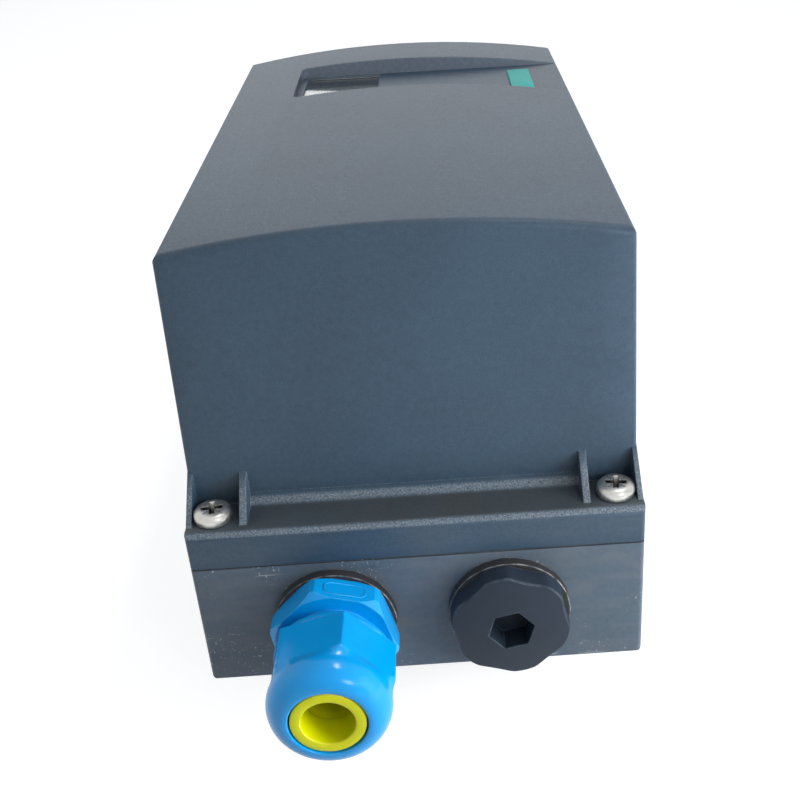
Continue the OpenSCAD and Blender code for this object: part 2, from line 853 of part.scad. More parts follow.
// Domed nut that presses the seal
module gland_nut() {
    collar_nut_r = nut_af / sqrt(3);
    bore_r = neck_r + free;
    color(gland_colour) at_entry(-entry_x) difference() {
        union() {
            translate([0, 0, nut_start]) cylinder(nut_collar_t, r = collar_nut_r);
            nut_hexagon();
            nut_cap();
        }
        rotate_extrude() polygon([[0, nut_start - past], [bore_r, nut_start - past],
            [bore_r, finger_end + free], [nut_mouth_r, finger_end + 4], [nut_mouth_r, nut_end + past],
            [0, nut_end + past]]);
    }
}

// Outline of the plug's head: six lobes with shallow hollows between them
module plug_outline() {
    lobes = 6;
    lobe_turn = 42;
    hollow_r = 2 * plug_r;
    difference() {
        circle(plug_r);
        for (i = [0 : lobes - 1]) rotate(lobe_turn + (i + 0.5) * 360 / lobes)
            translate([plug_r - plug_hollow + hollow_r, 0]) circle(hollow_r);
    }
}

// Plug with a lobed, slightly domed head and a hexagon socket
module blanking_plug() {
    socket_turn = 12;
    head_end = ring_t + plug_head_t;
    dome_r = (pow(plug_r, 2) + pow(plug_dome_h, 2)) / (2 * plug_dome_h);
    color(rubber_colour) at_entry(entry_x) difference() {
        union() {
            translate([0, 0, -spigot_l]) cylinder(spigot_l + ring_t + past, r = entry_r - slip);
            intersection() {
                translate([0, 0, ring_t]) linear_extrude(plug_head_t + past) plug_outline();
                translate([0, 0, head_end - dome_r]) sphere(dome_r);
            }
        }
        translate([0, 0, head_end - socket_depth]) rotate([0, 0, socket_turn])
            linear_extrude(socket_depth + past) hexagon(socket_af);
        translate([0, 0, -spigot_l - past]) cylinder(spigot_l, r = entry_r - 2.5);
    }
}

// Shaft: free end with a flat, journal, collar and upper end
module feedback_shaft() {
    low = -shaft_len - journal_proud;
    top = wheel_z + wheel_t + 1;
    color(steel_colour) difference() {
        union() {
            translate([0, 0, low]) cylinder(shaft_len + past, r = shaft_r);
            translate([0, 0, -journal_proud]) cylinder(collar_z + journal_proud, r = journal_r);
            translate([0, 0, collar_z]) cylinder(collar_t, r = collar_r);
            translate([0, 0, collar_z]) cylinder(top - collar_z, r = upper_r);
        }
        translate([shaft_r - flat_depth, -shaft_r, low - past])
            cube([shaft_r, 2 * shaft_r, shaft_len + past]);
        tube(shaft_r + past, ring_groove_r, retaining_z - slip, retaining_z + retaining_t + slip);
    }
}

// Plain bush in the base
module shaft_bush() {
    color(brass_colour) {
        tube(bush_r, journal_r + slip, shaft_seal_t, bush_top);
        tube(bush_r + 2, journal_r + slip, bush_top - slip, bush_top + 0.7);
    }
}

// Lip seal in the rear face
module shaft_seal() {
    color(rubber_colour) tube(shaft_seal_r, journal_r + slip, 0.4, shaft_seal_t);
}

// Gear on the shaft, with a light web
module drive_gear() {
    web_holes = 6;
    web_r = 3.5;
    pitch_r = gear_module * gear_teeth / 2;
    color(plastic_colour) translate([0, 0, gear_z]) difference() {
        linear_extrude(gear_t) gear_outline(gear_teeth);
        translate([0, 0, -past]) cylinder(gear_t + 2 * past, r = journal_r);
        for (i = [0 : web_holes - 1]) rotate([0, 0, (i + 0.5) * 360 / web_holes])
            translate([pitch_r * 0.66, 0, -past]) cylinder(gear_t + 2 * past, r = web_r);
    }
}

// Disc spring between gear and collar
module disc_spring() {
    t = 0.6;
    low = gear_z + gear_t;
    hole_r = journal_r + 0.2;
    color(steel_colour) rotate_extrude()
        polygon([[hole_r, collar_z - t], [hole_r, collar_z], [collar_r, low + t], [collar_r, low]]);
}

// Retaining ring above the bracket
module retaining_ring() {
    gap = 4;
    color(steel_colour) difference() {
        tube(retaining_r, ring_groove_r, retaining_z, retaining_z + retaining_t);
        translate([0, -gap / 2, retaining_z - past])
            cube([retaining_r + past, gap, retaining_t + 2 * past]);
    }
}

// Hand wheel of the friction clutch
module clutch_wheel() {
    grips = 18;
    grip_r = 0.8;
    color(yellow_colour) translate([0, 0, wheel_z]) difference() {
        cylinder(wheel_t, r = wheel_r);
        translate([0, 0, -past]) cylinder(wheel_t + 2 * past, r = upper_r);
        for (i = [0 : grips - 1]) rotate([0, 0, i * 360 / grips])
            translate([wheel_r + 0.2, 0, -past]) cylinder(wheel_t + 2 * past, r = grip_r);
    }
}

// Plate that carries the upper shaft bearing and the potentiometer
module gear_bracket() {
    left = pot_x - 13;
    right = bracket_legs[2][0] + 5;
    arm_y = bracket_legs[2][1];
    color(alloy_colour) translate([0, 0, bracket_z]) difference() {
        linear_extrude(bracket_t) {
            translate([(left + right) / 2, 0]) rounded_rect(right - left, 2 * bracket_legs[0][1] + 10, 3);
            translate([bracket_legs[2][0], 0]) rounded_rect(10, 2 * arm_y + 10, 3);
        }
        translate([0, 0, -past]) cylinder(bracket_t + 2 * past, r = upper_r + slip);
        translate([pot_x, 0, -past]) cylinder(bracket_t + 2 * past, r = pot_neck_r + slip);
        at_points(bracket_legs) translate([0, 0, -past])
            cylinder(bracket_t + 2 * past, r = bracket_screw_r + slip);
    }
}

// Screws of the gear bracket
module bracket_screws() {
    color(steel_colour) at_points(bracket_legs) translate([0, 0, bracket_z + bracket_t])
        pan_screw(bracket_screw_r, small_head_r, small_head_h, bracket_t + bracket_bite - past);
}

// Potentiometer body with its neck through the bracket
module potentiometer() {
    base_z = bracket_z + bracket_t;
    color([0.15, 0.25, 0.45]) difference() {
        translate([pot_x, 0, 0]) union() {
            translate([0, 0, base_z]) cylinder(pot_h, r = pot_r);
            translate([0, 0, base_z - pot_neck_l]) cylinder(pot_neck_l + past, r = pot_neck_r);
            block([-tag_w / 2, pot_r - tag_d, base_z], [tag_w / 2, pot_r + tag_d, base_z + tag_h]);
        }
        translate([pot_x, 0, base_z - pot_neck_l - past])
            cylinder(pot_neck_l + past + pot_bore_l, r = pot_shaft_r + slip);
    }
}

// Shaft that turns in the potentiometer
module pot_shaft() {
    low = gear_z - 1;
    top = bracket_z + bracket_t + pot_bore_l - free;
    color(steel_colour) translate([pot_x, 0, low]) cylinder(top - low, r = pot_shaft_r);
}

// Pinion meshing with the drive gear
module pot_pinion() {
    mesh_turn = gear_teeth % 2 == 0 ? 180 / pinion_teeth : 0;
    color(plastic_colour) translate([pot_x, 0, gear_z]) difference() {
        union() {
            rotate([0, 0, mesh_turn]) linear_extrude(gear_t) gear_outline(pinion_teeth);
            cylinder(gear_t + 2, r = pot_shaft_r + 1.5);
        }
        translate([0, 0, -past]) cylinder(gear_t + 4, r = pot_shaft_r);
    }
}

// Block with the air ports, its nose flush in the side wall
module pneumatic_block() {
    color(alloy_colour) difference() {
        union() {
            block([block_x0, -block_half_l, base_floor], [block_x1, block_half_l, block_top]);
            block([block_x1 - past, -nose_half_l, nose_z0], [nose_x, nose_half_l, nose_z1]);
        }
        for (y = concat(port_ys, [exhaust_y])) at_port(y) {
            translate([0, 0, -port_depth - spot_t]) cylinder(port_depth + spot_t + past, r = port_r);
            translate([0, 0, -spot_t]) cylinder(spot_t + past, r = spot_r);
            translate([0, 0, -port_depth - spot_t - screen_t]) cylinder(port_depth, r = screen_r);
        }
        for (y = [port_ys[0] + port_ys[1], port_ys[2] + exhaust_y]) at_port(y / 2)
            translate([0, 0, -restrictor_l]) cylinder(restrictor_l + past, r = restrictor_r + slip);
        for (s = [-1, 1]) translate([block_screw_x, s * block_screw_y, base_floor - past])
            cylinder(block_top, r = screw_r + slip);
        at_mounts() cylinder(insert_boss_z + free, r = insert_boss_r + free);
    }
}

// Frame seal between block and side wall
module block_gasket() {
    rim = 1.5;
    color(rubber_colour) difference() {
        block([block_x1, -nose_half_l - rim - nose_gap, base_floor],
            [wall_x, nose_half_l + rim + nose_gap, nose_z1 + rim + nose_gap]);
        block([block_x1 - past, -nose_half_l - slip, nose_z0 - slip],
            [wall_x + past, nose_half_l + slip, nose_z1 + slip]);
    }
}

// Screws that hold the block to the floor
module block_screws() {
    color(steel_colour) for (s = [-1, 1]) translate([block_screw_x, s * block_screw_y, block_top])
        pan_screw(screw_r, block_head_r, block_head_h, block_top - base_floor + block_screw_bite - free);
}

// Filter discs at the bottom of the ports
module port_screens() {
    color(steel_colour) for (y = port_ys) at_port(y)
        translate([0, 0, -port_depth - spot_t - screen_t]) cylinder(screen_t, r = screen_r - slip);
}

// Porous silencer in the exhaust port, slotted
module exhaust_silencer() {
    slot = 1.5;
    color(brass_colour) at_port(exhaust_y) difference() {
        translate([0, 0, -port_depth - spot_t]) cylinder(port_depth, r = port_r - slip);
        translate([-port_r, -slot / 2, -spot_t - 1.5]) cube([2 * port_r, slot, 3]);
    }
}

// Adjusting screw between two ports, slotted
module restrictor_screw(y) {
    slot = 0.8;
    color(brass_colour) at_port(y) difference() {
        translate([0, 0, -restrictor_l]) cylinder(restrictor_l - 0.5, r = restrictor_r);
        translate([-restrictor_r, -slot / 2, -1.7]) cube([2 * restrictor_r, slot, 3]);
    }
}
module restrictor_screw_1() {
    restrictor_screw((port_ys[0] + port_ys[1]) / 2);
}
module restrictor_screw_2() {
    restrictor_screw((port_ys[2] + exhaust_y) / 2);
}

// Slide for the purge air, on the block
module purge_switch() {
    grip_pitch = 3;
    grip_w = 1;
    grip_d = 0.8;
    low = [-purge_w / 2, -purge_l / 2, 0];
    color(yellow_colour) translate([(block_x0 + block_x1) / 2, port_pitch, block_top]) difference() {
        block(low, [purge_w / 2, purge_l / 2, purge_h]);
        for (i = [-1 : 1]) translate([0, i * grip_pitch, purge_h - grip_d])
            block([-purge_w, -grip_w / 2, 0], [purge_w, grip_w / 2, past]);
    }
}

// Piezo valves in their housing, on the block
module piezo_valve_unit() {
    middle = (valve_y0 + valve_y1) / 2;
    color([0.2, 0.2, 0.22]) difference() {
        union() {
            block([valve_x0, valve_y0, block_top],
                [block_x1 - valve_side, valve_y1, block_top + valve_base_h]);
            for (y = [valve_y0 + valve_side, middle + valve_cap_gap - valve_side])
                block([valve_x0 + valve_side, y, block_top],
                    [block_x1 - 2 * valve_side, y + middle - valve_y0 - valve_cap_gap, valve_top]);
        }
        for (y = [valve_y0 + fin_pitch : fin_pitch : valve_y1 - fin_pitch])
            block([valve_x0 - past, y, block_top + valve_side],
                [valve_x0 + fin_d, y + fin_w, block_top + valve_base_h - valve_side]);
    }
}

// Tray that carries the electronics on the base's posts
module electronics_tray() {
    relief_h = 1;
    relief_w = 12;
    relief_pitch = 2 * relief_w;
    color(plastic_colour) difference() {
        union() {
            translate([0, (tray_y0 + tray_y1) / 2, tray_z]) linear_extrude(tray_t)
                rounded_rect(2 * tray_half_w, tray_y1 - tray_y0, moulded_r);
            at_points(standoffs) translate([0, 0, tray_z]) cylinder(tray_t + standoff_h, r = standoff_r);
        }
        at_points(posts) translate([0, 0, tray_z - past])
            cylinder(tray_t + 2 * past, r = tray_screw_r + slip);
        lead_slots();
        for (y = [tray_y0 + wiring_l : relief_pitch : tray_y1 - relief_pitch])
            block([-relief_w / 2, y, tray_z - past], [relief_w / 2, y + relief_w, tray_z + relief_h]);
    }
}

// Slots in the tray for the two leads
module lead_slots() {
    gap = 1.5;
    for (p = [[pot_x, pot_r + tag_d], [valve_lead_x, valve_y1]])
        block([p[0] - lead_w / 2 - gap, p[1] - gap, tray_z - past],
            [p[0] + lead_w / 2 + gap, p[1] + lead_t + gap, tray_z + tray_t + past]);
}

// Screws of the tray
module tray_screws() {
    color(steel_colour) at_points(posts) translate([0, 0, tray_z + tray_t])
        pan_screw(tray_screw_r, small_head_r, small_head_h, tray_t + tray_bite - past);
}

// Main circuit board
module main_board() {
    color(board_colour) translate([0, (board_y0 + board_y1) / 2, board_z]) linear_extrude(board_t)
        difference() {
            square([2 * board_half_w, board_y1 - board_y0], center = true);
            translate([0, -(board_y0 + board_y1) / 2]) for (p = posts)
                translate(p) circle(small_head_r + 0.4);
        }
}

// Chips and capacitors on the main board
module board_components() {
    chip_x = -board_half_w + chip_inset;
    chip_y = module_y0 + chip_inset;
    color([0.1, 0.1, 0.1]) translate([0, 0, board_z + board_t]) {
        for (i = [0 : 2]) translate([chip_x, chip_y + i * chip_pitch, 0]) cube([chip_w, chip_w, chip_h]);
        for (i = [0 : 2]) translate([(i + 0.6) * capacitor_pitch, board_y1 - capacitor_end, 0])
            cylinder(capacitor_h, r = capacitor_r);
        translate([coil_w / 6, chip_y, 0]) cube([coil_w, coil_l, coil_h]);
        for (i = [0 : 6]) translate([board_half_w - driver_side, chip_y + i * driver_pitch, 0])
            cube([driver_w, driver_pitch / 2, driver_h]);
    }
}

// Spacers between the two boards
module board_spacers() {
    low = board_z + board_t;
    color(brass_colour) for (x = [-spacer_x, spacer_x])
        for (y = [module_y0 + spacer_inset, board_y1 - spacer_inset]) translate([x, y, low])
            cylinder(option_z - low, r = spacer_r, $fn = 6);
}

// Second circuit board, above the main one
module option_board() {
    edge = spacer_r + spacer_edge;
    color(board_colour) block([-spacer_x - edge, module_y0 + spacer_inset - edge, option_z],
        [spacer_x + edge, board_y1 - spacer_inset + edge, option_z + board_t]);
}

// A row of clamp terminals standing on z = 0, wires from the entry end
module terminal_row(count) {
    w = count * terminal_pitch;
    mouth = 3;
    mouth_z = 2.5;
    mouth_d = terminal_d / 2;
    back = 2;
    slant = 3;
    color([0.3, 0.45, 0.35]) difference() {
        along_x(-w / 2, w / 2) polygon([[0, 0], [terminal_d, 0], [terminal_d, terminal_h - back],
            [terminal_d - back, terminal_h], [slant, terminal_h], [0, terminal_h - slant - back / 4]]);
        for (i = [0 : count - 1]) translate([-w / 2 + (i + 0.5) * terminal_pitch, 0, 0]) {
            block([-mouth / 2, -past, mouth_z], [mouth / 2, mouth_d, mouth_z + mouth]);
            translate([0, clamp_y, terminal_h - clamp_d]) cylinder(clamp_d + past, r = clamp_r);
        }
    }
}
module main_terminals() {
    translate([0, terminal_y, board_z + board_t]) terminal_row(terminal_count);
}
module option_terminals() {
    translate([0, option_terminal_y, board_z + board_t]) terminal_row(option_count);
}

// Slotted screws of both terminal rows
module terminal_screws() {
    screw_h = 2.2;
    slot = 0.6;
    slot_d = 0.8;
    color(steel_colour) for (row = [[terminal_count, terminal_y], [option_count, option_terminal_y]])
        for (i = [0 : row[0] - 1])
            translate([(i + 0.5 - row[0] / 2) * terminal_pitch, row[1] + clamp_y,
                board_z + board_t + terminal_h - clamp_d])
                difference() {
                    cylinder(screw_h, r = clamp_r - slip);
                    block([-clamp_r, -slot / 2, screw_h - slot_d], [clamp_r, slot / 2, screw_h + past]);
                }
}

// Cover of the electronics with openings for display and keys
module module_cover() {
    low = tray_z + tray_t;
    vents = 6;
    vent_pitch = 12;
    vent_z = low + 22;
    vent_w = 6;
    vent_h = 8;
    pin_r = 2.5;
    dimple_r = 3;
    dimple_d = 0.6;
    color(plastic_colour) difference() {
        union() {
            difference() {
                translate([0, (module_y0 + module_y1) / 2, low]) linear_extrude(module_top - low)
                    rounded_rect(2 * module_half_w, module_y1 - module_y0, moulded_r);
                block([-module_half_w + module_wall, module_y0 + module_wall, low - past],
                    [module_half_w - module_wall, module_y1 - module_wall, module_top - module_wall]);
            }
            at_points(display_board_corners()) translate([0, 0, display_board_z + board_t])
                cylinder(module_top - display_board_z - board_t - past, r = pin_r);
        }
        block([-board_half_w - 1, module_y0 - past, low - past],
            [board_half_w + 1, module_y0 + module_wall + past, option_z + board_t + 1]);
        display_cut(free, module_top - module_wall - past, module_top + past);
        for (i = [-1 : 1]) translate([key_x, recess_y + i * key_pitch, module_top - module_wall - past])
            cylinder(module_wall + 2 * past, r = key_r + free / 2);
        for (i = [0 : vents - 1]) for (s = [-1, 1])
            translate([s * module_half_w, module_y0 + (i + 1.2) * vent_pitch, vent_z])
                block([-module_wall - past, 0, 0], [module_wall + past, vent_w, vent_h]);
        for (y = [-1, 1]) translate([key_x + 4 * key_r, recess_y + y * 14, module_top - dimple_d])
            cylinder(past, r = dimple_r);
    }
}

// Corners of the display board, where the module cover's posts hold it
function display_board_corners() = [for (x = [window_x - 12, key_x + 9]) for (y = [-1, 1])
    [x, recess_y + y * (window_l / 2 + 7)]];

// Prism of the display module's outline
module display_cut(gap, z0, z1) {
    translate([window_x, window_y, z0]) linear_extrude(z1 - z0)
        square([window_w + 2 * display_rim + 2 * gap, window_l + 2 * display_rim + 2 * gap], center = true);
}

// Circuit board under the display and keys
module display_board() {
    corners = display_board_corners();
    rim = 3;
    color(board_colour) block([corners[0][0] - rim, corners[0][1] - rim, display_board_z],
        [corners[3][0] + rim, corners[3][1] + rim, display_board_z + board_t]);
}

// Liquid crystal display in its frame
module display_module() {
    low = display_board_z + board_t;
    color([0.7, 0.74, 0.72]) difference() {
        display_cut(0, low, display_top);
        display_cut(-display_frame, display_top - display_sink, display_top + past);
    }
}

// Push switches under the keys
module key_switches() {
    low = display_board_z + board_t;
    color(rubber_colour) for (i = [-1 : 1]) translate([key_x, recess_y + i * key_pitch, low]) {
        linear_extrude(switch_h) square(switch_w, center = true);
        cylinder(key_flange_z - key_travel - free - low, r = switch_stem_r);
    }
}

// A key: cap above the module cover, flange below its plate
module key(i, turns) {
    color(plastic_colour) translate([key_x, recess_y + i * key_pitch, 0]) difference() {
        union() {
            translate([0, 0, key_flange_z]) cylinder(key_flange_t, r = key_flange_r);
            translate([0, 0, key_flange_z]) cylinder(key_top - key_flange_z - 0.8, r = key_r);
            translate([0, 0, key_top - 0.8]) cylinder(0.8, r1 = key_r, r2 = key_r - 0.8);
        }
        for (a = turns) rotate([0, 0, a]) translate([0, 0, key_top - 0.4])
            block([-key_r * 0.5, -0.4, 0], [key_r * 0.5, 0.4, past]);
    }
}
module mode_key() {
    key(-1, []);
}
module minus_key() {
    key(0, [90]);
}
module plus_key() {
    key(1, [0, 90]);
}

// Flat lead from the potentiometer to the main board
module pot_lead() {
    y = pot_r + tag_d;
    color(rubber_colour) block([pot_x - lead_w / 2, y, bracket_z + bracket_t + lead_slack],
        [pot_x + lead_w / 2, y + lead_t, board_z]);
}

// Flat lead from the piezo valves to the main board
module valve_lead() {
    color(rubber_colour) block([valve_lead_x - lead_w / 2, valve_y1, block_top + lead_slack],
        [valve_lead_x + lead_w / 2, valve_y1 + lead_t, board_z]);
}

base_housing();
mounting_inserts();
cover_inserts();
cover_gasket();
front_cover();
display_window();
cover_screws();
gland_sealing_ring();
gland_body();
gland_seal();
gland_nut();
plug_sealing_ring();
blanking_plug();
feedback_shaft();
shaft_bush();
shaft_seal();
drive_gear();
disc_spring();
retaining_ring();
clutch_wheel();
gear_bracket();
bracket_screws();
potentiometer();
pot_shaft();
pot_pinion();
pneumatic_block();
block_gasket();
block_screws();
port_screens();
exhaust_silencer();
restrictor_screw_1();
restrictor_screw_2();
purge_switch();
piezo_valve_unit();
electronics_tray();
tray_screws();
main_board();
board_components();
board_spacers();
option_board();
main_terminals();
option_terminals();
terminal_screws();
module_cover();
display_board();
display_module();
key_switches();
mode_key();
minus_key();
plus_key();
pot_lead();
valve_lead();
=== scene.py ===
# %% [markdown]
# # A valve positioner in the studio
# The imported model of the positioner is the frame: every solid is already at its real place and
# size, in metres. This lesson gives each surface its finish, adds the small pieces that only the
# eye needs, and sets up a camera and a soft light. Nothing of the frame is moved.

# %% Load the frame
import json
import math

import bmesh
import bpy
from mathutils import Matrix, Vector


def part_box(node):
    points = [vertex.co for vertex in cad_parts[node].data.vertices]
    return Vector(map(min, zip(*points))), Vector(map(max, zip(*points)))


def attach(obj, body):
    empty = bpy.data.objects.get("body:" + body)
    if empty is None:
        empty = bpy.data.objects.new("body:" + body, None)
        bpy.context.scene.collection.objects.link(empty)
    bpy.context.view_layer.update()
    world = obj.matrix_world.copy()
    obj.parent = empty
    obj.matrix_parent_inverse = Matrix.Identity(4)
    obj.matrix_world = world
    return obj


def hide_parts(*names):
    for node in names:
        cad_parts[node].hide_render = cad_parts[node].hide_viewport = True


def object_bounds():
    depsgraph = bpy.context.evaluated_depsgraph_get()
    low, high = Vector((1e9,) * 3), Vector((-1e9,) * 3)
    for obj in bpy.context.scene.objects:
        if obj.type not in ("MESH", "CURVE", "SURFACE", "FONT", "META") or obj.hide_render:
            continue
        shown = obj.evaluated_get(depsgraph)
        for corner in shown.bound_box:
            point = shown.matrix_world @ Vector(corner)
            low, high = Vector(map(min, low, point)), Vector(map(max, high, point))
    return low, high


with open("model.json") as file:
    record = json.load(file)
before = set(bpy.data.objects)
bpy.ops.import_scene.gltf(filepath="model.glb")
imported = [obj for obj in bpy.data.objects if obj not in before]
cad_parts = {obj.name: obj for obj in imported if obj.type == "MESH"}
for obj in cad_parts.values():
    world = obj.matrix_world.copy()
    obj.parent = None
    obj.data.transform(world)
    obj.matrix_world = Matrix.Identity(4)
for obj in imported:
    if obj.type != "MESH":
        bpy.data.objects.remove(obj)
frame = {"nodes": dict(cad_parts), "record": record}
nodes = frame["nodes"]
cad_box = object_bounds()
MM = 0.001
print("frame:", len(nodes), "nodes, box in mm", [[round(c / MM, 1) for c in corner] for corner in cad_box])

# %% [markdown]
# ## Three small tools
# Colours are written as the hex values that one reads off a colour card, so one function turns
# them to the linear values that the shader sockets take. A second function adds any node with its
# settings and links, and a node given as an input is linked by its first output. A third turns
# the real size of a pattern, in millimetres, into a texture's scale, because the textures read
# coordinates in metres.

# %% Colour, node and scale helpers
# A Mix node's colour sockets have the same names as its others, so they go by number
MIX_A, MIX_B, MIX_OUT = 6, 7, 2
MATH, MIX = "ShaderNodeMath", "ShaderNodeMix"
# Sockets of a Map Range node: 0 value, 1 and 2 the levels it has, 3 and 4 what they become
NOISE, RANGE = "ShaderNodeTexNoise", "ShaderNodeMapRange"


def linear(hex_code):
    parts = [int(hex_code[i : i + 2], 16) / 255 for i in (1, 3, 5)]
    curve = [c / 12.92 if c <= 0.04045 else ((c + 0.055) / 1.055) ** 2.4 for c in parts]
    return (*curve, 1.0)


def put(tree, kind, inputs=None, **settings):
    made = tree.nodes.new(kind)
    for name, value in settings.items():
        setattr(made, name, value)
    for socket, value in (inputs or {}).items():
        if isinstance(value, bpy.types.Node):
            value = value.outputs[0]
        if isinstance(value, bpy.types.NodeSocket):
            tree.links.new(value, made.inputs[socket])
        else:
            made.inputs[socket].default_value = value
    return made


def cells(size_mm):
    return 1 / (size_mm * MM)


print("a pattern of 1 mm has a texture scale of", round(cells(1)))

# %% [markdown]
# ## Camera
# The picture was taken from the cable-entry end, about 29 degrees above the table and close by,
# so the far end looks much narrower. A camera solved from the housing's corners gives the eye
# point, the three angles and the lens. The picture was cut off-centre, and a small shift of the
# lens repeats that cut without turning the camera away from the housing.

# %% Camera at the picture's viewpoint
EYE = Vector((8.68, -283.26, 174.17)) * MM
AZIMUTH, ELEVATION, ROLL = map(math.radians, (0.976, 29.35, -3.141))
LENS_MM, SENSOR_MM = 51.19, 36.0
SHIFT_ACROSS, SHIFT_UP = -0.0838, -0.002
NEAREST_SEEN = 0.01

forward = Vector(
    (
        math.sin(AZIMUTH) * math.cos(ELEVATION),
        math.cos(AZIMUTH) * math.cos(ELEVATION),
        -math.sin(ELEVATION),
    )
)
turn = forward.to_track_quat("-Z", "Y").to_matrix() @ Matrix.Rotation(ROLL, 3, "Z")
lens = bpy.data.cameras.new("studio_camera")
lens.lens = LENS_MM
lens.sensor_width = SENSOR_MM
lens.shift_x = SHIFT_ACROSS
lens.shift_y = SHIFT_UP
lens.clip_start = NEAREST_SEEN
camera = bpy.data.objects.new("studio_camera", lens)
camera.matrix_world = Matrix.Translation(EYE) @ turn.to_4x4()
bpy.context.scene.collection.objects.link(camera)
bpy.context.scene.camera = camera
print("camera", round(EYE.length / MM), "mm from the origin, lens", LENS_MM, "mm")

# %% [markdown]
# ## Floor and light
# The positioner stands in a white studio. The gland's glossy cap tells where the light came from:
# a strip lamp almost overhead, and a small window in front, on the right. Both are area lamps
# here. A close softbox on the right makes the end wall brighter towards that side, a fill on the
# left keeps that flank from going black, and a softbox behind the object puts a pale sheen on the
# crown. The fill and the softboxes in front and on the right only light the object and are not
# mirrored in it, so the gloss shows small clear highlights. The floor is pale and takes the
# shadow. What the camera and the reflections see of the room and the floor is lifted to white by
# their own materials, and the lamps stay at a plain level.

# %% Room, floor and lamps
ROOM_LIGHT = 0.2
FLOOR_LIFT = 0.74


def seen_directly(tree):
    path = put(tree, "ShaderNodeLightPath").outputs
    shiny = {0: path["Is Glossy Ray"], 1: path["Is Transmission Ray"]}
    either = {0: path["Is Camera Ray"], 1: put(tree, MATH, shiny, operation="MAXIMUM")}
    return put(tree, MATH, either, operation="MAXIMUM")


room = bpy.data.worlds.new("white_room")
room.use_nodes = True
tree = room.node_tree
tree.nodes.clear()
lighting = put(tree, "ShaderNodeBackground", {"Color": linear("#F6F8FB"), "Strength": ROOM_LIGHT})
backdrop = put(tree, "ShaderNodeBackground", {"Color": (1, 1, 1, 1), "Strength": 1.0})
chosen = put(tree, "ShaderNodeMixShader", {0: seen_directly(tree), 1: lighting, 2: backdrop})
put(tree, "ShaderNodeOutputWorld", {"Surface": chosen})
bpy.context.scene.world = room

# Background paper: matt white, with no highlight
paper = bpy.data.materials.new("white_studio_paper")
paper.use_nodes = True
tree = paper.node_tree
matt = tree.nodes["Principled BSDF"]
matt.inputs["Base Color"].default_value = linear("#B6B8BA")
matt.inputs["Roughness"].default_value = 0.9
matt.inputs["Specular IOR Level"].default_value = 0.1
glow = put(tree, "ShaderNodeEmission", {"Color": (1, 1, 1, 1), "Strength": FLOOR_LIFT})
dark = put(tree, "ShaderNodeEmission", {"Color": (0, 0, 0, 1), "Strength": 0.0})
lift = put(tree, "ShaderNodeMixShader", {0: seen_directly(tree), 1: dark, 2: glow})
total = put(tree, "ShaderNodeAddShader", {0: matt, 1: lift})
tree.links.new(total.outputs[0], tree.nodes["Material Output"].inputs["Surface"])

FLOOR_HALF = 3.0
floor_z = cad_box[0].z
sheet = bpy.data.meshes.new("studio_floor")
corners = [(x * FLOOR_HALF, y * FLOOR_HALF, floor_z) for x, y in ((-1, -1), (1, -1), (1, 1), (-1, 1))]
sheet.from_pydata(corners, [], [(0, 1, 2, 3)])
sheet.materials.append(paper)
floor = bpy.data.objects.new("studio_floor", sheet)
bpy.context.scene.collection.objects.link(floor)

# Place, target and size in metres, power in watts, and whether the gloss mirrors the lamp
LAMPS = {
    "overhead_strip": ((0.26, 0.03, 1.0), (0, 0, 0.05), (0.3, 0.08), 2.0, True),
    "front_window": ((0.29, -0.55, 0.32), (0, -0.09, 0.04), (0.16, 0.11), 0.6, True),
    "front_softbox": ((0.5, -1.2, 0.8), (0, 0, 0.06), (0.8, 0.6), 1.7, False),
    "left_fill": ((-0.55, 0.0, 0.28), (0, -0.05, 0.05), (0.4, 0.4), 1.5, False),
    "side_softbox": ((0.27, -0.2, 0.09), (0, -0.09, 0.04), (0.2, 0.2), 1.5, False),
    "back_softbox": ((0.0, 0.95, 0.6), (0, 0, 0.09), (1.0, 0.6), 1.75, True),
}
for name, (place, target, extent, power, mirrored) in LAMPS.items():
    lamp = bpy.data.lights.new(name, "AREA")
    lamp.shape = "RECTANGLE"
    lamp.size, lamp.size_y = extent
    lamp.energy = power
    holder = bpy.data.objects.new(name, lamp)
    aim = (Vector(target) - Vector(place)).to_track_quat("-Z", "Y")
    holder.matrix_world = Matrix.Translation(place) @ aim.to_matrix().to_4x4()
    holder.visible_glossy = mirrored
    bpy.context.scene.collection.objects.link(holder)
bpy.context.scene.view_settings.view_transform = "Standard"
print("floor at", round(floor_z / MM, 2), "mm,", len(LAMPS), "lamps")

# %% [markdown]
# ## Smooth faces with crisp edges
# A CAD node comes as loose triangles. A small Geometry Nodes tree merges their corners and
# smooths the shading across them, except where two faces meet at a sharp angle. The same tree
# serves every node, with the merging distance and the angle as named inputs. Plain smooth shading
# would blur the edges of the flat faces, and flat shading would show every triangle.

# %% One smoothing tree for all nodes
MERGE_M = 0.5e-6
SHARP_ANGLE = math.radians(28)


def new_tree(name, **values):
    tree = bpy.data.node_groups.new(name, "GeometryNodeTree")
    tree.interface.new_socket("Geometry", in_out="INPUT", socket_type="NodeSocketGeometry")
    for title, kind in values.items():
        tree.interface.new_socket(title.replace("_", " "), in_out="INPUT", socket_type="NodeSocket" + kind)
    tree.interface.new_socket("Geometry", in_out="OUTPUT", socket_type="NodeSocketGeometry")
    return tree, put(tree, "NodeGroupInput"), put(tree, "NodeGroupOutput")


def apply_tree(piece, tree, **values):
    modifier = piece.modifiers.new(tree.name, "NODES")
    modifier.node_group = tree
    for item in tree.interface.items_tree:
        title = item.name.replace(" ", "_")
        if item.in_out == "INPUT" and title in values:
            modifier[item.identifier] = values[title]
    return modifier


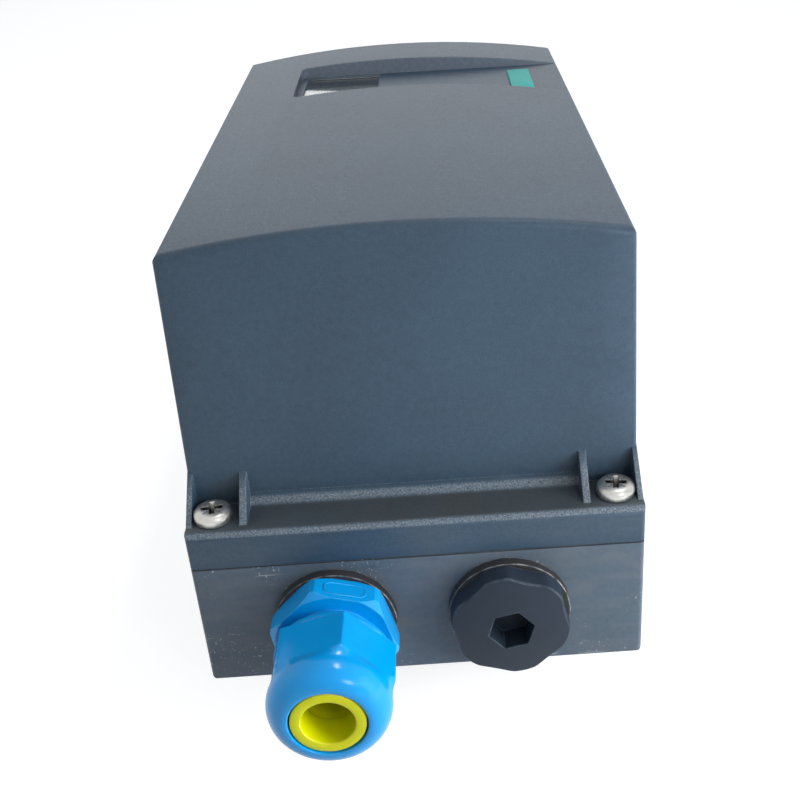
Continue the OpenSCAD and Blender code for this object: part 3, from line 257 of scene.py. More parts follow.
smooth_tree, source, result = new_tree("crisp_smooth_surface", merge_distance="Float", sharp_angle="Float")
old_normals = {"Geometry": source, "Name": "custom_normal"}
bare = put(smooth_tree, "GeometryNodeRemoveAttribute", old_normals)
corners = {"Geometry": bare, "Distance": source.outputs["merge distance"]}
merged = put(smooth_tree, "GeometryNodeMergeByDistance", corners)
rounded = put(smooth_tree, "GeometryNodeSetShadeSmooth", {"Geometry": merged, "Shade Smooth": True})
fold = put(smooth_tree, "GeometryNodeInputMeshEdgeAngle")
steep = put(
    smooth_tree,
    "FunctionNodeCompare",
    {0: fold.outputs["Unsigned Angle"], 1: source.outputs["sharp angle"]},
    operation="GREATER_THAN",
)
crisp = put(
    smooth_tree,
    "GeometryNodeSetShadeSmooth",
    {"Geometry": rounded, "Selection": steep, "Shade Smooth": False},
    domain="EDGE",
)
smooth_tree.links.new(crisp.outputs[0], result.inputs[0])
for piece in nodes.values():
    apply_tree(piece, smooth_tree, merge_distance=MERGE_M, sharp_angle=SHARP_ANGLE)
print("smoothed", len(nodes), "nodes")

# %% [markdown]
# ## Housing: spark-eroded polycarbonate
# Base and cover are moulded from dark blue-grey polycarbonate in a tool that was eroded by sparks.
# That leaves a fine even grain, half gloss. Wherever the surface turns, on the edges and along the
# fillet above the ledge, the grain's peaks are painted pale, a painted highlight of glitter. Dust has
# settled on the ledges, and the base has been handled, so it is greyer and carries dull rubbed
# patches and a few fine scratches. Each of these could be painted by hand. Here each one is a mask
# instead: a noise or a measure of the surface, which a Map Range node cuts off between two levels.
# A mask follows the shape by itself, so it still fits when the housing changes.

# %% Masks for dust, wear and painted light on the housing
PATCH_MM = 3.2
# Scratches and specks are drawn coarser than real ones, which would be too fine to show
SCRATCH_MM, SPECK_MM, SPREAD_MM = 0.5, 0.6, 11
RECESS_Z, RECESS_Y = (93.8, 94.4), (50, 52)


def settled_dust(tree, slope, low, cloud):
    level = put(tree, RANGE, {0: slope, 1: 0.9, 2: 0.98})
    lying = put(tree, MATH, {0: level, 1: low}, operation="MULTIPLY")
    uneven = put(tree, RANGE, {0: cloud, 1: 0.2, 2: 0.6, 3: 0.5, 4: 0.95})
    return put(tree, MATH, {0: lying, 1: uneven}, operation="MULTIPLY")


# Painted light: the recess's upright wall is painted paler, high on the far half
def painted_light_on_recess_wall(tree, place, slope, mottle):
    at = put(tree, "ShaderNodeSeparateXYZ", {0: place})
    not_up = put(tree, RANGE, {0: slope, 1: 0.5, 2: 0.3})
    not_down = put(tree, RANGE, {0: slope, 1: -0.5, 2: -0.3})
    upright = put(tree, MATH, {0: not_up, 1: not_down}, operation="MULTIPLY")
    high = put(tree, RANGE, {0: at.outputs["Z"], 1: RECESS_Z[0] * MM, 2: RECESS_Z[1] * MM})
    far = put(tree, RANGE, {0: at.outputs["Y"], 1: RECESS_Y[0] * MM, 2: RECESS_Y[1] * MM})
    corner = put(tree, MATH, {0: high, 1: far}, operation="MULTIPLY")
    inside = put(tree, MATH, {0: corner, 1: upright}, operation="MULTIPLY")
    uneven = put(tree, RANGE, {0: mottle, 1: 0.2, 2: 0.7, 3: 0.6, 4: 1.0})
    return put(tree, MATH, {0: inside, 1: uneven}, operation="MULTIPLY")


# Rubbed patches are longer than they are high
def rubbed_patches(tree, place, low, share):
    drawn = put(tree, "ShaderNodeMapping", {"Vector": place, "Scale": (0.3, 0.3, 1.0)})
    patch = put(tree, NOISE, {"Vector": drawn, "Scale": cells(PATCH_MM), "Detail": 4.0})
    rubbed = put(tree, RANGE, {0: patch, 1: 0.42, 2: 0.68})
    on_low = put(tree, MATH, {0: rubbed, 1: low}, operation="MULTIPLY")
    return put(tree, MATH, {0: on_low, 1: share}, operation="MULTIPLY")


# Scratches are noise drawn out along the walls, kept where a broad patch allows it
def scratches_and_specks(tree, place, share):
    along_walls = {"Vector": place, "Rotation": (0.04, 0.05, 0), "Scale": (0.03, 0.03, 1.0)}
    drawn = put(tree, "ShaderNodeMapping", along_walls)
    streak = put(tree, NOISE, {"Vector": drawn, "Scale": cells(SCRATCH_MM), "Detail": 1.0})
    scratch = put(tree, RANGE, {0: streak, 1: 0.7, 2: 0.75})
    dot = put(tree, NOISE, {"Vector": place, "Scale": cells(SPECK_MM), "Detail": 1.0})
    speck = put(tree, RANGE, {0: dot, 1: 0.66, 2: 0.72})
    mark = put(tree, MATH, {0: scratch, 1: speck}, operation="MAXIMUM")
    spread = put(tree, NOISE, {"Vector": place, "Scale": cells(SPREAD_MM), "Detail": 2.0})
    allowed = put(tree, RANGE, {0: spread, 1: 0.5, 2: 0.62})
    kept = put(tree, MATH, {0: mark, 1: allowed}, operation="MULTIPLY")
    return put(tree, MATH, {0: kept, 1: share}, operation="MULTIPLY")


print("rubbed patches of", PATCH_MM, "mm, scratches of", SCRATCH_MM, "mm")

# %% [markdown]
# ### Painted glitter where the housing turns
# A grain peak is painted pale, as a painted highlight, where it stands on an edge or on a fillet.
# A Bevel node finds the edges: where its rounded normal leaves the true one, the surface turns. The
# fillets are found by their slope, because they are too wide for that. Flat faces keep only a trace
# of the painted glitter.

# %% Mask for the painted glitter highlight of the grain
TURN_MM, FLAT_GLITTER = 0.4, 0.04
JOINT_Z = (31, 32.5)


# Painted highlight: pale glitter painted on grain peaks where the housing turns
def painted_grain_highlight(tree, grain, facing, slope, height, low, share):
    soft = put(tree, "ShaderNodeBevel", {"Radius": TURN_MM * MM}, samples=6)
    match = put(tree, "ShaderNodeVectorMath", {0: soft, 1: facing}, operation="DOT_PRODUCT")
    edge = put(tree, RANGE, {0: match.outputs["Value"], 1: 0.96, 2: 0.86})
    off_wall = put(tree, RANGE, {0: slope, 1: 0.3, 2: 0.55})
    off_ledge = put(tree, RANGE, {0: slope, 1: 0.97, 2: 0.85})
    sloped = put(tree, MATH, {0: off_wall, 1: off_ledge}, operation="MULTIPLY")
    fillet = put(tree, MATH, {0: sloped, 1: low}, operation="MULTIPLY")
    turning = put(tree, MATH, {0: edge, 1: fillet}, operation="MAXIMUM")
    peak = put(tree, RANGE, {0: grain, 1: 0.3, 2: 0.78})
    above_joint = put(tree, RANGE, {0: height, 1: JOINT_Z[0] * MM, 2: JOINT_Z[1] * MM})
    clean_peak = put(tree, MATH, {0: peak, 1: above_joint}, operation="MULTIPLY")
    amount = put(tree, RANGE, {0: turning, 1: 0.0, 2: 1.0, 3: FLAT_GLITTER, 4: share})
    return put(tree, MATH, {0: clean_peak, 1: amount}, operation="MULTIPLY")


print("glitter where the surface turns within", TURN_MM, "mm")

# %% [markdown]
# ### Layers of the housing finish
# The colour is built up as a painter would do it, one layer over the other: two tones of the
# plastic, dust, painted light on the recess wall, wear and last the painted glitter highlight,
# which shares its layer with the real scratches. The grain also lifts the surface a little and
# changes its gloss from point to point. Cover and base share the recipe and differ in its values.

# %% Housing finishes
# The grain is drawn coarser than the real one, so that it shows
GRAIN_MM = 0.33
MOTTLE_MM, CLOUD_MM = 1.3, 26
EDGE_MM, GRAIN_DEPTH_MM, LOW_FADE_MM = 0.45, 0.06, 3
# Painted light: the paler colour painted on the recess's upright wall
RECESS_WALL_PAINTED_LIGHT = "#66707E"


def new_finish(name):
    material = bpy.data.materials.new(name)
    material.use_nodes = True
    tree = material.node_tree
    return material, tree, tree.nodes["Principled BSDF"], put(tree, "ShaderNodeTexCoord").outputs["Object"]


def grained_housing(name, deep, pale, glitter, dust, rubbed, low_mm, turn_share, rub_share, scratch_share):
    material, tree, shader, place = new_finish(name)
    grain = put(tree, NOISE, {"Vector": place, "Scale": cells(GRAIN_MM), "Detail": 2.0})
    mottle = put(tree, NOISE, {"Vector": place, "Scale": cells(MOTTLE_MM), "Detail": 3.0})
    cloud = put(tree, NOISE, {"Vector": place, "Scale": cells(CLOUD_MM), "Detail": 3.0})
    height = put(tree, "ShaderNodeSeparateXYZ", {0: place}).outputs["Z"]
    low = put(tree, RANGE, {0: height, 1: low_mm * MM, 2: (low_mm - LOW_FADE_MM) * MM})
    facing = put(tree, "ShaderNodeNewGeometry").outputs["Normal"]
    slope = put(tree, "ShaderNodeSeparateXYZ", {0: facing}).outputs["Z"]
    mixed = put(tree, MATH, {0: cloud, 1: mottle}, operation="ADD")
    # Painted highlight on edges and fillets, shown in one layer with the real scratches
    shine = painted_grain_highlight(tree, grain, facing, slope, height, low, turn_share)
    scratched = scratches_and_specks(tree, place, scratch_share)
    layers = [
        (put(tree, RANGE, {0: mixed, 1: 0.7, 2: 1.3}), pale),
        (settled_dust(tree, slope, low, cloud), dust),
        # Painted light on the recess's upright wall
        (painted_light_on_recess_wall(tree, place, slope, mottle), RECESS_WALL_PAINTED_LIGHT),
        (rubbed_patches(tree, place, low, rub_share), rubbed),
        (put(tree, MATH, {0: shine, 1: scratched}, operation="MAXIMUM"), glitter),
    ]
    colour = linear(deep)
    for mask, over in layers:
        both = {0: mask, MIX_A: colour, MIX_B: linear(over)}
        colour = put(tree, MIX, both, data_type="RGBA").outputs[MIX_OUT]
    edge = put(tree, "ShaderNodeBevel", {"Radius": EDGE_MM * MM}, samples=4)
    lifted = {"Height": grain, "Strength": 0.4, "Distance": GRAIN_DEPTH_MM * MM, "Normal": edge}
    gloss = put(tree, RANGE, {0: grain, 1: 0.3, 2: 0.7, 3: 0.56, 4: 0.42})
    tree.links.new(colour, shader.inputs["Base Color"])
    tree.links.new(gloss.outputs[0], shader.inputs["Roughness"])
    tree.links.new(put(tree, "ShaderNodeBump", lifted).outputs[0], shader.inputs["Normal"])
    shader.inputs["IOR"].default_value = 1.46
    return material


# The cover: dark and half gloss, with a bright painted glitter highlight on its edges and its fillet
cover_plastic = grained_housing(
    "grained_polycarbonate_cover", deep="#273A4B", pale="#2F4557", glitter="#9CA5AB", dust="#3C3F40",
    rubbed="#43505B", low_mm=46, turn_share=0.62, rub_share=0.25, scratch_share=0.0,
)
# The base: greyer and duller, rubbed in patches, with pale scratches and specks
base_plastic = grained_housing(
    "grained_polycarbonate_base", deep="#43515E", pale="#4C5B69", glitter="#B0BAC2", dust="#3A3D3F",
    rubbed="#60656A", low_mm=60, turn_share=0.2, rub_share=0.4, scratch_share=0.6,
)
print("housing grain", GRAIN_MM, "mm, edges rounded over", EDGE_MM, "mm")

# %% [markdown]
# ## Moulded plastics and rubber
# Gland, seal, plug, keys and the inner plastics come smooth from a polished tool. Each one is
# nearly one colour, with a faint cloudiness from the flow of the melt and a slight waviness that
# bends the reflections. Rubber is duller. One recipe serves them all, because they differ only in
# colour, gloss and waviness. Where a rim colour is given, the edges are painted paler, as a painted
# highlight, and a Bevel node finds them as on the housing.

# %% Smooth moulded finishes
# The dust that dulls the gloss is drawn coarser than it is, so that it shows
ROUND_MM, DUST_MM, SCATTER_MM = 0.4, 0.5, 0.6


def smooth_moulding(name, deep, pale, roughness, wave_mm, relief_mm, ior=1.5, scatter=0.0, rim=None):
    material, tree, shader, place = new_finish(name)
    flow = put(tree, NOISE, {"Vector": place, "Scale": cells(wave_mm), "Detail": 3.0})
    dust = put(tree, NOISE, {"Vector": place, "Scale": cells(DUST_MM), "Detail": 2.0})
    gloss = put(tree, RANGE, {0: dust, 1: 0.3, 2: 0.7, 3: roughness - 0.05, 4: roughness + 0.07})
    edge = put(tree, "ShaderNodeBevel", {"Radius": ROUND_MM * MM}, samples=4)
    wave = {"Height": flow, "Strength": 0.4, "Distance": relief_mm * MM, "Normal": edge}
    both = {0: flow, MIX_A: linear(deep), MIX_B: linear(pale)}
    colour = put(tree, MIX, both, data_type="RGBA").outputs[MIX_OUT]
    # Painted highlight: edges found by the Bevel node are painted in the paler rim colour
    if rim:
        facing = put(tree, "ShaderNodeNewGeometry").outputs["Normal"]
        match = put(tree, "ShaderNodeVectorMath", {0: edge, 1: facing}, operation="DOT_PRODUCT")
        turning = put(tree, RANGE, {0: match.outputs["Value"], 1: 0.99, 2: 0.9})
        uneven = put(tree, RANGE, {0: flow, 1: 0.35, 2: 0.6})
        painted_rim_highlight = put(tree, MATH, {0: turning, 1: uneven}, operation="MULTIPLY")
        both = {0: painted_rim_highlight, MIX_A: colour, MIX_B: linear(rim)}
        colour = put(tree, MIX, both, data_type="RGBA").outputs[MIX_OUT]
    tree.links.new(colour, shader.inputs["Base Color"])
    tree.links.new(gloss.outputs[0], shader.inputs["Roughness"])
    tree.links.new(put(tree, "ShaderNodeBump", wave).outputs[0], shader.inputs["Normal"])
    shader.inputs["IOR"].default_value = ior
    shader.inputs["Subsurface Weight"].default_value = scatter
    shader.inputs["Subsurface Scale"].default_value = SCATTER_MM * MM
    return material


finishes = {
    # Glass-smooth polyamide: a clear highlight on a strong blue
    "blue_plastic": smooth_moulding(
        "blue_polyamide", "#008BD2", "#0095DC", 0.17, 5, 0.03, ior=1.42, scatter=0.05, rim="#37A9F2"
    ),
    # Thermoplastic rubber: an even yellow with a soft wide highlight
    "yellow_rubber": smooth_moulding(
        "yellow_thermoplastic_rubber", "#C6C800", "#D0D300", 0.42, 4, 0.05,
        ior=1.42, scatter=0.1, rim="#E9EA6A",
    ),
    # Glass-filled polyamide: near black, matt and slightly blue
    "black_plastic": smooth_moulding(
        "black_filled_polyamide", "#1C2530", "#232D39", 0.5, 3, 0.08, ior=1.35, rim="#5E6C78"
    ),
    # Nitrile rubber: dull black, with a pale painted highlight on its edges
    "black_rubber": smooth_moulding(
        "black_nitrile_rubber", "#1E1F21", "#2C2D2F", 0.55, 2, 0.1, rim="#B4B7B9"
    ),
    # Natural acetal: milky white with a waxy sheen
    "white_plastic": smooth_moulding(
        "natural_acetal", "#DAD9D2", "#E6E5DF", 0.38, 6, 0.04, ior=1.48, scatter=0.1
    ),
    # ABS: an even satin grey, and a warm yellow that shines a little more
    "grey_plastic": smooth_moulding("grey_moulded_abs", "#7B7E82", "#86898D", 0.5, 4, 0.06),
    "yellow_plastic": smooth_moulding("yellow_moulded_abs", "#D9A514", "#E4B121", 0.4, 4, 0.05),
    # Terminal polyamide: a deep green with a satin face
    "green_plastic": smooth_moulding("green_polyamide", "#2C6A44", "#35754D", 0.45, 3, 0.06),
    # Silicone: pale grey and soft, with hardly any highlight
    "key_plastic": smooth_moulding("pale_grey_silicone", "#A9ADB1", "#B6BABD", 0.55, 3, 0.05),
}
print(len(finishes), "smooth mouldings")

# %% [markdown]
# ## Metals
# The screws are zinc plated, the shaft is turned from stainless steel, the inserts are brass and
# the air block is milled from aluminium. A metal's colour is its reflection, so the base colours
# are high and the difference lies in the roughness: fine turning or milling lines, drawn as
# stretched noise, and a mottle where the plating is uneven. Recesses and thread roots are painted
# dark as painted shade, where an Ambient Occlusion node finds them.

# %% Metal finishes
# Reach and colour of the painted shade in recesses and thread roots
CREVICE_MM, PAINTED_CREVICE_SHADE = 2.0, "#2E2C29"
METAL_EDGE_MM, LINE_DEPTH_MM = 0.15, 0.03
# Noise is drawn out into lines round a turned piece, and along a milled one
EVEN, TURNED, MILLED = (1, 1, 1), (0.1, 0.1, 1), (1, 0.06, 1)


def worked_metal(name, deep, pale, roughness, line_mm, stretch, mottle_mm):
    material, tree, shader, place = new_finish(name)
    drawn = put(tree, "ShaderNodeMapping", {"Vector": place, "Scale": stretch})
    lines = put(tree, NOISE, {"Vector": drawn, "Scale": cells(line_mm), "Detail": 2.0})
    mottle = put(tree, NOISE, {"Vector": place, "Scale": cells(mottle_mm), "Detail": 3.0})
    gloss = put(tree, RANGE, {0: lines, 1: 0.3, 2: 0.7, 3: roughness - 0.08, 4: roughness + 0.1})
    edge = put(tree, "ShaderNodeBevel", {"Radius": METAL_EDGE_MM * MM}, samples=4)
    cut = {"Height": lines, "Strength": 0.25, "Distance": LINE_DEPTH_MM * MM, "Normal": edge}
    # Painted shade: the colour darkens in recesses and thread roots that Ambient Occlusion finds
    nearby = {"Distance": CREVICE_MM * MM}
    crevice = put(tree, "ShaderNodeAmbientOcclusion", nearby, samples=8, only_local=True)
    painted_shade = put(tree, RANGE, {0: crevice.outputs["AO"], 1: 0.82, 2: 0.42})
    both = {0: mottle, MIX_A: linear(deep), MIX_B: linear(pale)}
    tone = put(tree, MIX, both, data_type="RGBA").outputs[MIX_OUT]
    both = {0: painted_shade, MIX_A: tone, MIX_B: linear(PAINTED_CREVICE_SHADE)}
    colour = put(tree, MIX, both, data_type="RGBA").outputs[MIX_OUT]
    tree.links.new(colour, shader.inputs["Base Color"])
    tree.links.new(gloss.outputs[0], shader.inputs["Roughness"])
    tree.links.new(put(tree, "ShaderNodeBump", cut).outputs[0], shader.inputs["Normal"])
    shader.inputs["Metallic"].default_value = 1.0
    return material


# The tool lines are drawn coarser than real ones, which would be too fine to show
metals = {
    # Zinc plate: bright and cloudy, without lines
    "zinc_steel": ("bright_zinc_plate", "#BAB9B4", "#D8D7D2", 0.38, 0.5, EVEN, 1.4),
    # Turned steel: a long streaked highlight
    "stainless_steel": ("turned_stainless_steel", "#A6A6A4", "#BDBDBB", 0.26, 0.2, TURNED, 5),
    # Brass: warm yellow, with the same streaks
    "brass": ("plain_brass", "#B28C47", "#C9A55C", 0.3, 0.25, TURNED, 4),
    # Milled aluminium: pale and even, with straight lines
    "aluminium": ("milled_aluminium", "#B4B6B8", "#C8CACC", 0.36, 0.3, MILLED, 6),
}
for slot, recipe in metals.items():
    finishes[slot] = worked_metal(*recipe)
print(len(metals), "metals,", len(finishes), "finishes in all")

# %% [markdown]
# ## Window, display and circuit boards
# The window is a clear moulded pane: it transmits, and at the low angle of the picture it mostly
# mirrors the recess and the bright room. Below it the display shows a pale grey field in a dark
# frame, told apart by height, because the field lies sunk in the frame. The dark frame is painted
# shadow, the shade that the window's bezel casts. The boards are green solder resist over copper
# tracks, which a brick pattern lays out in rows.

# %% Clear pane, display field and board
SMEAR_MM, FILM_MM, FIELD_SUNK_MM = 9, 0.6, 0.25
TRACK_MM, TRACK_SPACING_MM, LINK_SPACING_MM, TRACK_DEPTH_MM = 0.18, 1.5, 6.5, 0.05

# Clear polycarbonate: it mirrors at a low angle, and wiping has left a faint smear
pane, tree, shader, place = new_finish("clear_polycarbonate_pane")
smear = put(tree, NOISE, {"Vector": place, "Scale": cells(SMEAR_MM), "Detail": 3.0})
haze = put(tree, RANGE, {0: smear, 3: 0.02, 4: 0.09})
tree.links.new(haze.outputs[0], shader.inputs["Roughness"])
shader.inputs["Base Color"].default_value = linear("#F2F5F6")
shader.inputs["Transmission Weight"].default_value = 1.0
shader.inputs["IOR"].default_value = 1.58
finishes["clear_plastic"] = pane

# Reflective display: a pale grey field, faintly mottled, in a dark frame of painted shadow
display, tree, shader, place = new_finish("reflective_display")
field_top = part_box("display_module")[1].z
height = put(tree, "ShaderNodeSeparateXYZ", {0: place}).outputs["Z"]
sunk = put(tree, MATH, {0: height, 1: field_top - FIELD_SUNK_MM * MM}, operation="LESS_THAN")
film = put(tree, NOISE, {"Vector": place, "Scale": cells(FILM_MM), "Detail": 1.0})
both = {0: film, MIX_A: linear("#A3ACA6"), MIX_B: linear("#B2BAB4")}
field = put(tree, MIX, both, data_type="RGBA").outputs[MIX_OUT]
# Painted shadow: everything above the sunk field is painted dark, as the bezel's shade
both = {0: sunk, MIX_A: linear("#23262A"), MIX_B: field}
shown = put(tree, MIX, both, data_type="RGBA")
tree.links.new(shown.outputs[MIX_OUT], shader.inputs["Base Color"])
shader.inputs["Roughness"].default_value = 0.35
finishes["display_glass"] = display

# Solder resist: glossy dark green, paler over the tracks, which are the pattern's mortar lines
board, tree, shader, place = new_finish("green_solder_resist")
tracks = put(
    tree,
    "ShaderNodeTexBrick",
    {
        "Vector": place,
        "Color1": linear("#0E4A2B"),
        "Color2": linear("#125434"),
        "Mortar": linear("#2B7A4D"),
        "Scale": cells(1),
        "Mortar Size": TRACK_MM,
        "Brick Width": LINK_SPACING_MM,
        "Row Height": TRACK_SPACING_MM,
    },
)
tree.links.new(tracks.outputs["Color"], shader.inputs["Base Color"])
raised = {"Height": tracks.outputs["Fac"], "Strength": 0.4, "Distance": TRACK_DEPTH_MM * MM}
tree.links.new(put(tree, "ShaderNodeBump", raised).outputs[0], shader.inputs["Normal"])
shader.inputs["Roughness"].default_value = 0.3
finishes["circuit_board"] = board
print("pane, display and board done")

# %% [markdown]
# ## Finish on every node
# The record names a material slot for each node. Base and cover share one slot, but they have aged
# differently, so they take their own two finishes.

# %% Put the finishes on the nodes
own_finish = {"front_cover": cover_plastic, "base_housing": base_plastic}
for part in frame["record"]["subparts"]:
    piece = nodes[part["node"]]
    piece.data.materials.clear()
    piece.data.materials.append(own_finish.get(part["node"], finishes.get(part["material_slot"])))

# %% [markdown]
# ## Screws with a cross recess and a real thread
# Four zinc-plated pan-head screws hold the cover. Each head has a tapered cross recess with a thin
# mark between its arms, and below it a fine thread, which shows when the cover is lifted off. The
# head is turned from a profile, as on a lathe, and the recess is cut by a Boolean. A thread is a
# ridge that climbs along a spiral, so a Geometry Nodes tree makes it from a spiral curve and a
# small profile. A second tree sets the screws, heads and threads together, at their four places,
# each one turned a little further than the last.

# %% Thread ridges at a set of places
SPIRAL_STEPS = 28


def new_piece(name, points, faces=()):
    shape = bpy.data.meshes.new(name)
    shape.from_pydata([[c * MM for c in point] for point in points], [], faces)
    piece = bpy.data.objects.new(name, shape)
    bpy.context.scene.collection.objects.link(piece)
    return piece


def as_plain_mesh(piece):
    apply_tree(piece, smooth_tree, merge_distance=MERGE_M, sharp_angle=SHARP_ANGLE)
    whole = piece.evaluated_get(bpy.context.evaluated_depsgraph_get())
    shape = bpy.data.meshes.new_from_object(whole)
    piece.modifiers.clear()
    piece.data = shape
    return piece


def belongs(piece, body, slot, *replaced):
    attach(piece, body)
    if replaced:
        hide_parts(*replaced)
    print(piece.name, "rides", body, "with", len(piece.data.polygons), "faces")


def spiral_ridge(tree, source):
    lead = {0: source.outputs["pitch"], 1: source.outputs["turns"]}
    rise = put(tree, MATH, lead, operation="MULTIPLY")
    path = put(
        tree,
        "GeometryNodeCurveSpiral",
        {
            "Resolution": SPIRAL_STEPS,
            "Rotations": source.outputs["turns"],
            "Start Radius": source.outputs["radius"],
            "End Radius": source.outputs["radius"],
            "Height": rise,
        },
    )
    upright = put(tree, "GeometryNodeSetCurveNormal", {"Curve": path}, mode="Z_UP")
    diamond = {"Resolution": 4, "Radius": source.outputs["ridge"]}
    profile = put(tree, "GeometryNodeCurvePrimitiveCircle", diamond)
    return put(
        tree,
        "GeometryNodeCurveToMesh",
        {"Curve": upright, "Profile Curve": profile, "Fill Caps": True},
    ).outputs[0]


def finish_tree(tree, geometry, source, result):
    solid = put(tree, "GeometryNodeRealizeInstances", {"Geometry": geometry})
    dressed = put(
        tree,
        "GeometryNodeSetMaterial",
        {"Geometry": solid.outputs[0], "Material": source.outputs["finish"]},
    )
    tree.links.new(dressed.outputs[0], result.inputs[0])


THREAD_SIZES = {"radius": "Float", "pitch": "Float", "turns": "Float", "ridge": "Float"}
thread_tree, source, result = new_tree("thread_ridges", **THREAD_SIZES, tilt="Rotation", finish="Material")
threads = put(
    thread_tree,
    "GeometryNodeInstanceOnPoints",
    {
        "Points": source.outputs[0],
        "Instance": spiral_ridge(thread_tree, source),
        "Rotation": source.outputs["tilt"],
    },
)
finish_tree(thread_tree, threads.outputs[0], source, result)
print("thread tree with", len(thread_tree.nodes), "nodes")

# %% One screw head, turned and cut
SHANK_R = 1.65
HEAD_PROFILE = [
    (0, -14), (1.3, -14), (SHANK_R, -13.4), (SHANK_R, 0), (3.75, 0), (4.02, 0.25), (4.1, 0.8),
    (4.1, 1.3), (3.95, 1.95), (3.55, 2.42), (3.0, 2.68), (2.2, 2.78), (0, 2.8),
]
TURN_STEPS = 56
# Height, reach of the arms and half their width
RECESS_LEVELS = [(2.95, 2.35, 0.62), (1.9, 1.75, 0.5), (0.9, 1.05, 0.4)]
MARK_TOP, MARK_DEPTH, MARK_HALF, MARK_FROM, MARK_TO = 2.95, 2.6, 0.16, 1.35, 2.75
MARK_FOOT_SHARE = 0.2


def turned(profile, steps):
    shell = bmesh.new()
    rings = []
    for radius, height in profile:
        angles = [i * math.tau / steps for i in range(steps if radius else 1)]
        points = [Vector((radius * math.cos(a), radius * math.sin(a), height)) for a in angles]
        rings.append([shell.verts.new(point * MM) for point in points])
    for low, high in zip(rings, rings[1:]):
        for i in range(steps):
            j = i + 1
            around = [low[i % len(low)], low[j % len(low)], high[j % len(high)], high[i % len(high)]]
            shell.faces.new(list(dict.fromkeys(around)))
    return shell


def cross_corners(reach, half, height):
    arm = [(reach, -half), (reach, half), (half, half)]
    corners = []
    for quarter in range(4):
        spin = Matrix.Rotation(quarter * math.pi / 2, 3, "Z")
        corners += [spin @ Vector((x * MM, y * MM, height * MM)) for x, y in arm]
    return corners


def closed_stack(shell, loops):
    rings = [[shell.verts.new(corner) for corner in loop] for loop in loops]
    shell.faces.new(rings[0])
    shell.faces.new(rings[-1][::-1])
    for upper, lower in zip(rings, rings[1:]):
        for i in range(len(upper)):
            j = (i + 1) % len(upper)
            shell.faces.new([upper[j], upper[i], lower[i], lower[j]])


def shell_piece(name, shell):
    bmesh.ops.recalc_face_normals(shell, faces=shell.faces)
    piece = new_piece(name, [])
    shell.to_mesh(piece.data)
    shell.free()
    return piece


head = shell_piece("screw_head", turned(HEAD_PROFILE, TURN_STEPS))
tool = bmesh.new()
closed_stack(tool, [cross_corners(reach, half, height) for height, reach, half in RECESS_LEVELS])
for quarter in range(4):
    spin = Matrix.Rotation((quarter + 0.5) * math.pi / 2, 3, "Z")
    top = [(x, -MARK_HALF) for x in (MARK_FROM, MARK_TO)] + [(x, MARK_HALF) for x in (MARK_TO, MARK_FROM)]
    loops = [
        [spin @ Vector((x * MM, y * share * MM, height * MM)) for x, y in top]
        for height, share in ((MARK_TOP, 1.0), (MARK_DEPTH, MARK_FOOT_SHARE))
    ]
    closed_stack(tool, loops)
cutter = shell_piece("recess_cutter", tool)
cut = head.modifiers.new("recess", "BOOLEAN")
cut.operation = "DIFFERENCE"
cut.object = cutter
cut.solver = "EXACT"
as_plain_mesh(head)
bpy.data.objects.remove(cutter)
print("screw head with", len(head.data.polygons), "faces")

# %% Set the four screws
SCREW_X, SCREW_Y, LEDGE_Z = 42.1, 86.25, 38.5
SCREW_PITCH, SCREW_TURNS, SCREW_RIDGE, THREAD_FOOT = 0.7, 16, 0.34, -13.0
SCREW_SEATS = [(x, y, LEDGE_Z) for x in (-SCREW_X, SCREW_X) for y in (-SCREW_Y, SCREW_Y)]
FIRST_TURN, NEXT_TURN = math.radians(8), math.radians(37)

SCREW_VALUES = {"first_turn": "Float", "next_turn": "Float", "head": "Object", "finish": "Material"}
screw_tree, source, result = new_tree("cover_screw_set", **THREAD_SIZES, **SCREW_VALUES)
made_head = put(screw_tree, "GeometryNodeObjectInfo", {"Object": source.outputs["head"]})
foot = put(
    screw_tree,
    "GeometryNodeTransform",
    {"Geometry": spiral_ridge(screw_tree, source), "Translation": (0, 0, THREAD_FOOT * MM)},
)
screw = put(screw_tree, "GeometryNodeJoinGeometry")
screw_tree.links.new(made_head.outputs["Geometry"], screw.inputs[0])
screw_tree.links.new(foot.outputs[0], screw.inputs[0])
order = put(screw_tree, "GeometryNodeInputIndex")
angle = put(
    screw_tree,
    "ShaderNodeMath",
    {0: order.outputs[0], 1: source.outputs["next turn"], 2: source.outputs["first turn"]},
    operation="MULTIPLY_ADD",
)
about_axis = put(screw_tree, "FunctionNodeAxisAngleToRotation", {"Axis": (0, 0, 1), "Angle": angle})
seated = put(
    screw_tree,
    "GeometryNodeInstanceOnPoints",
    {"Points": source, "Instance": screw, "Rotation": about_axis},
)
finish_tree(screw_tree, seated.outputs[0], source, result)

screws = new_piece("cross_recess_cover_screws", SCREW_SEATS)
apply_tree(
    screws, screw_tree, radius=SHANK_R * MM, pitch=SCREW_PITCH * MM, turns=SCREW_TURNS,
    ridge=SCREW_RIDGE * MM, first_turn=FIRST_TURN, next_turn=NEXT_TURN, head=head,
    finish=finishes["zinc_steel"],
)
as_plain_mesh(screws)
bpy.data.objects.remove(head)
belongs(screws, "cover", "zinc_steel", "cover_screws")

# %% [markdown]
# ## Threads in the air ports and in the rear inserts
# The three open ports take threaded pipe fittings, and the brass inserts in the rear face take the
# bracket's bolts. The same spiral ridge lines these bores, with its crest pointing inwards. The
# ports lie across the housing, so their ridges are tilted onto their sides.

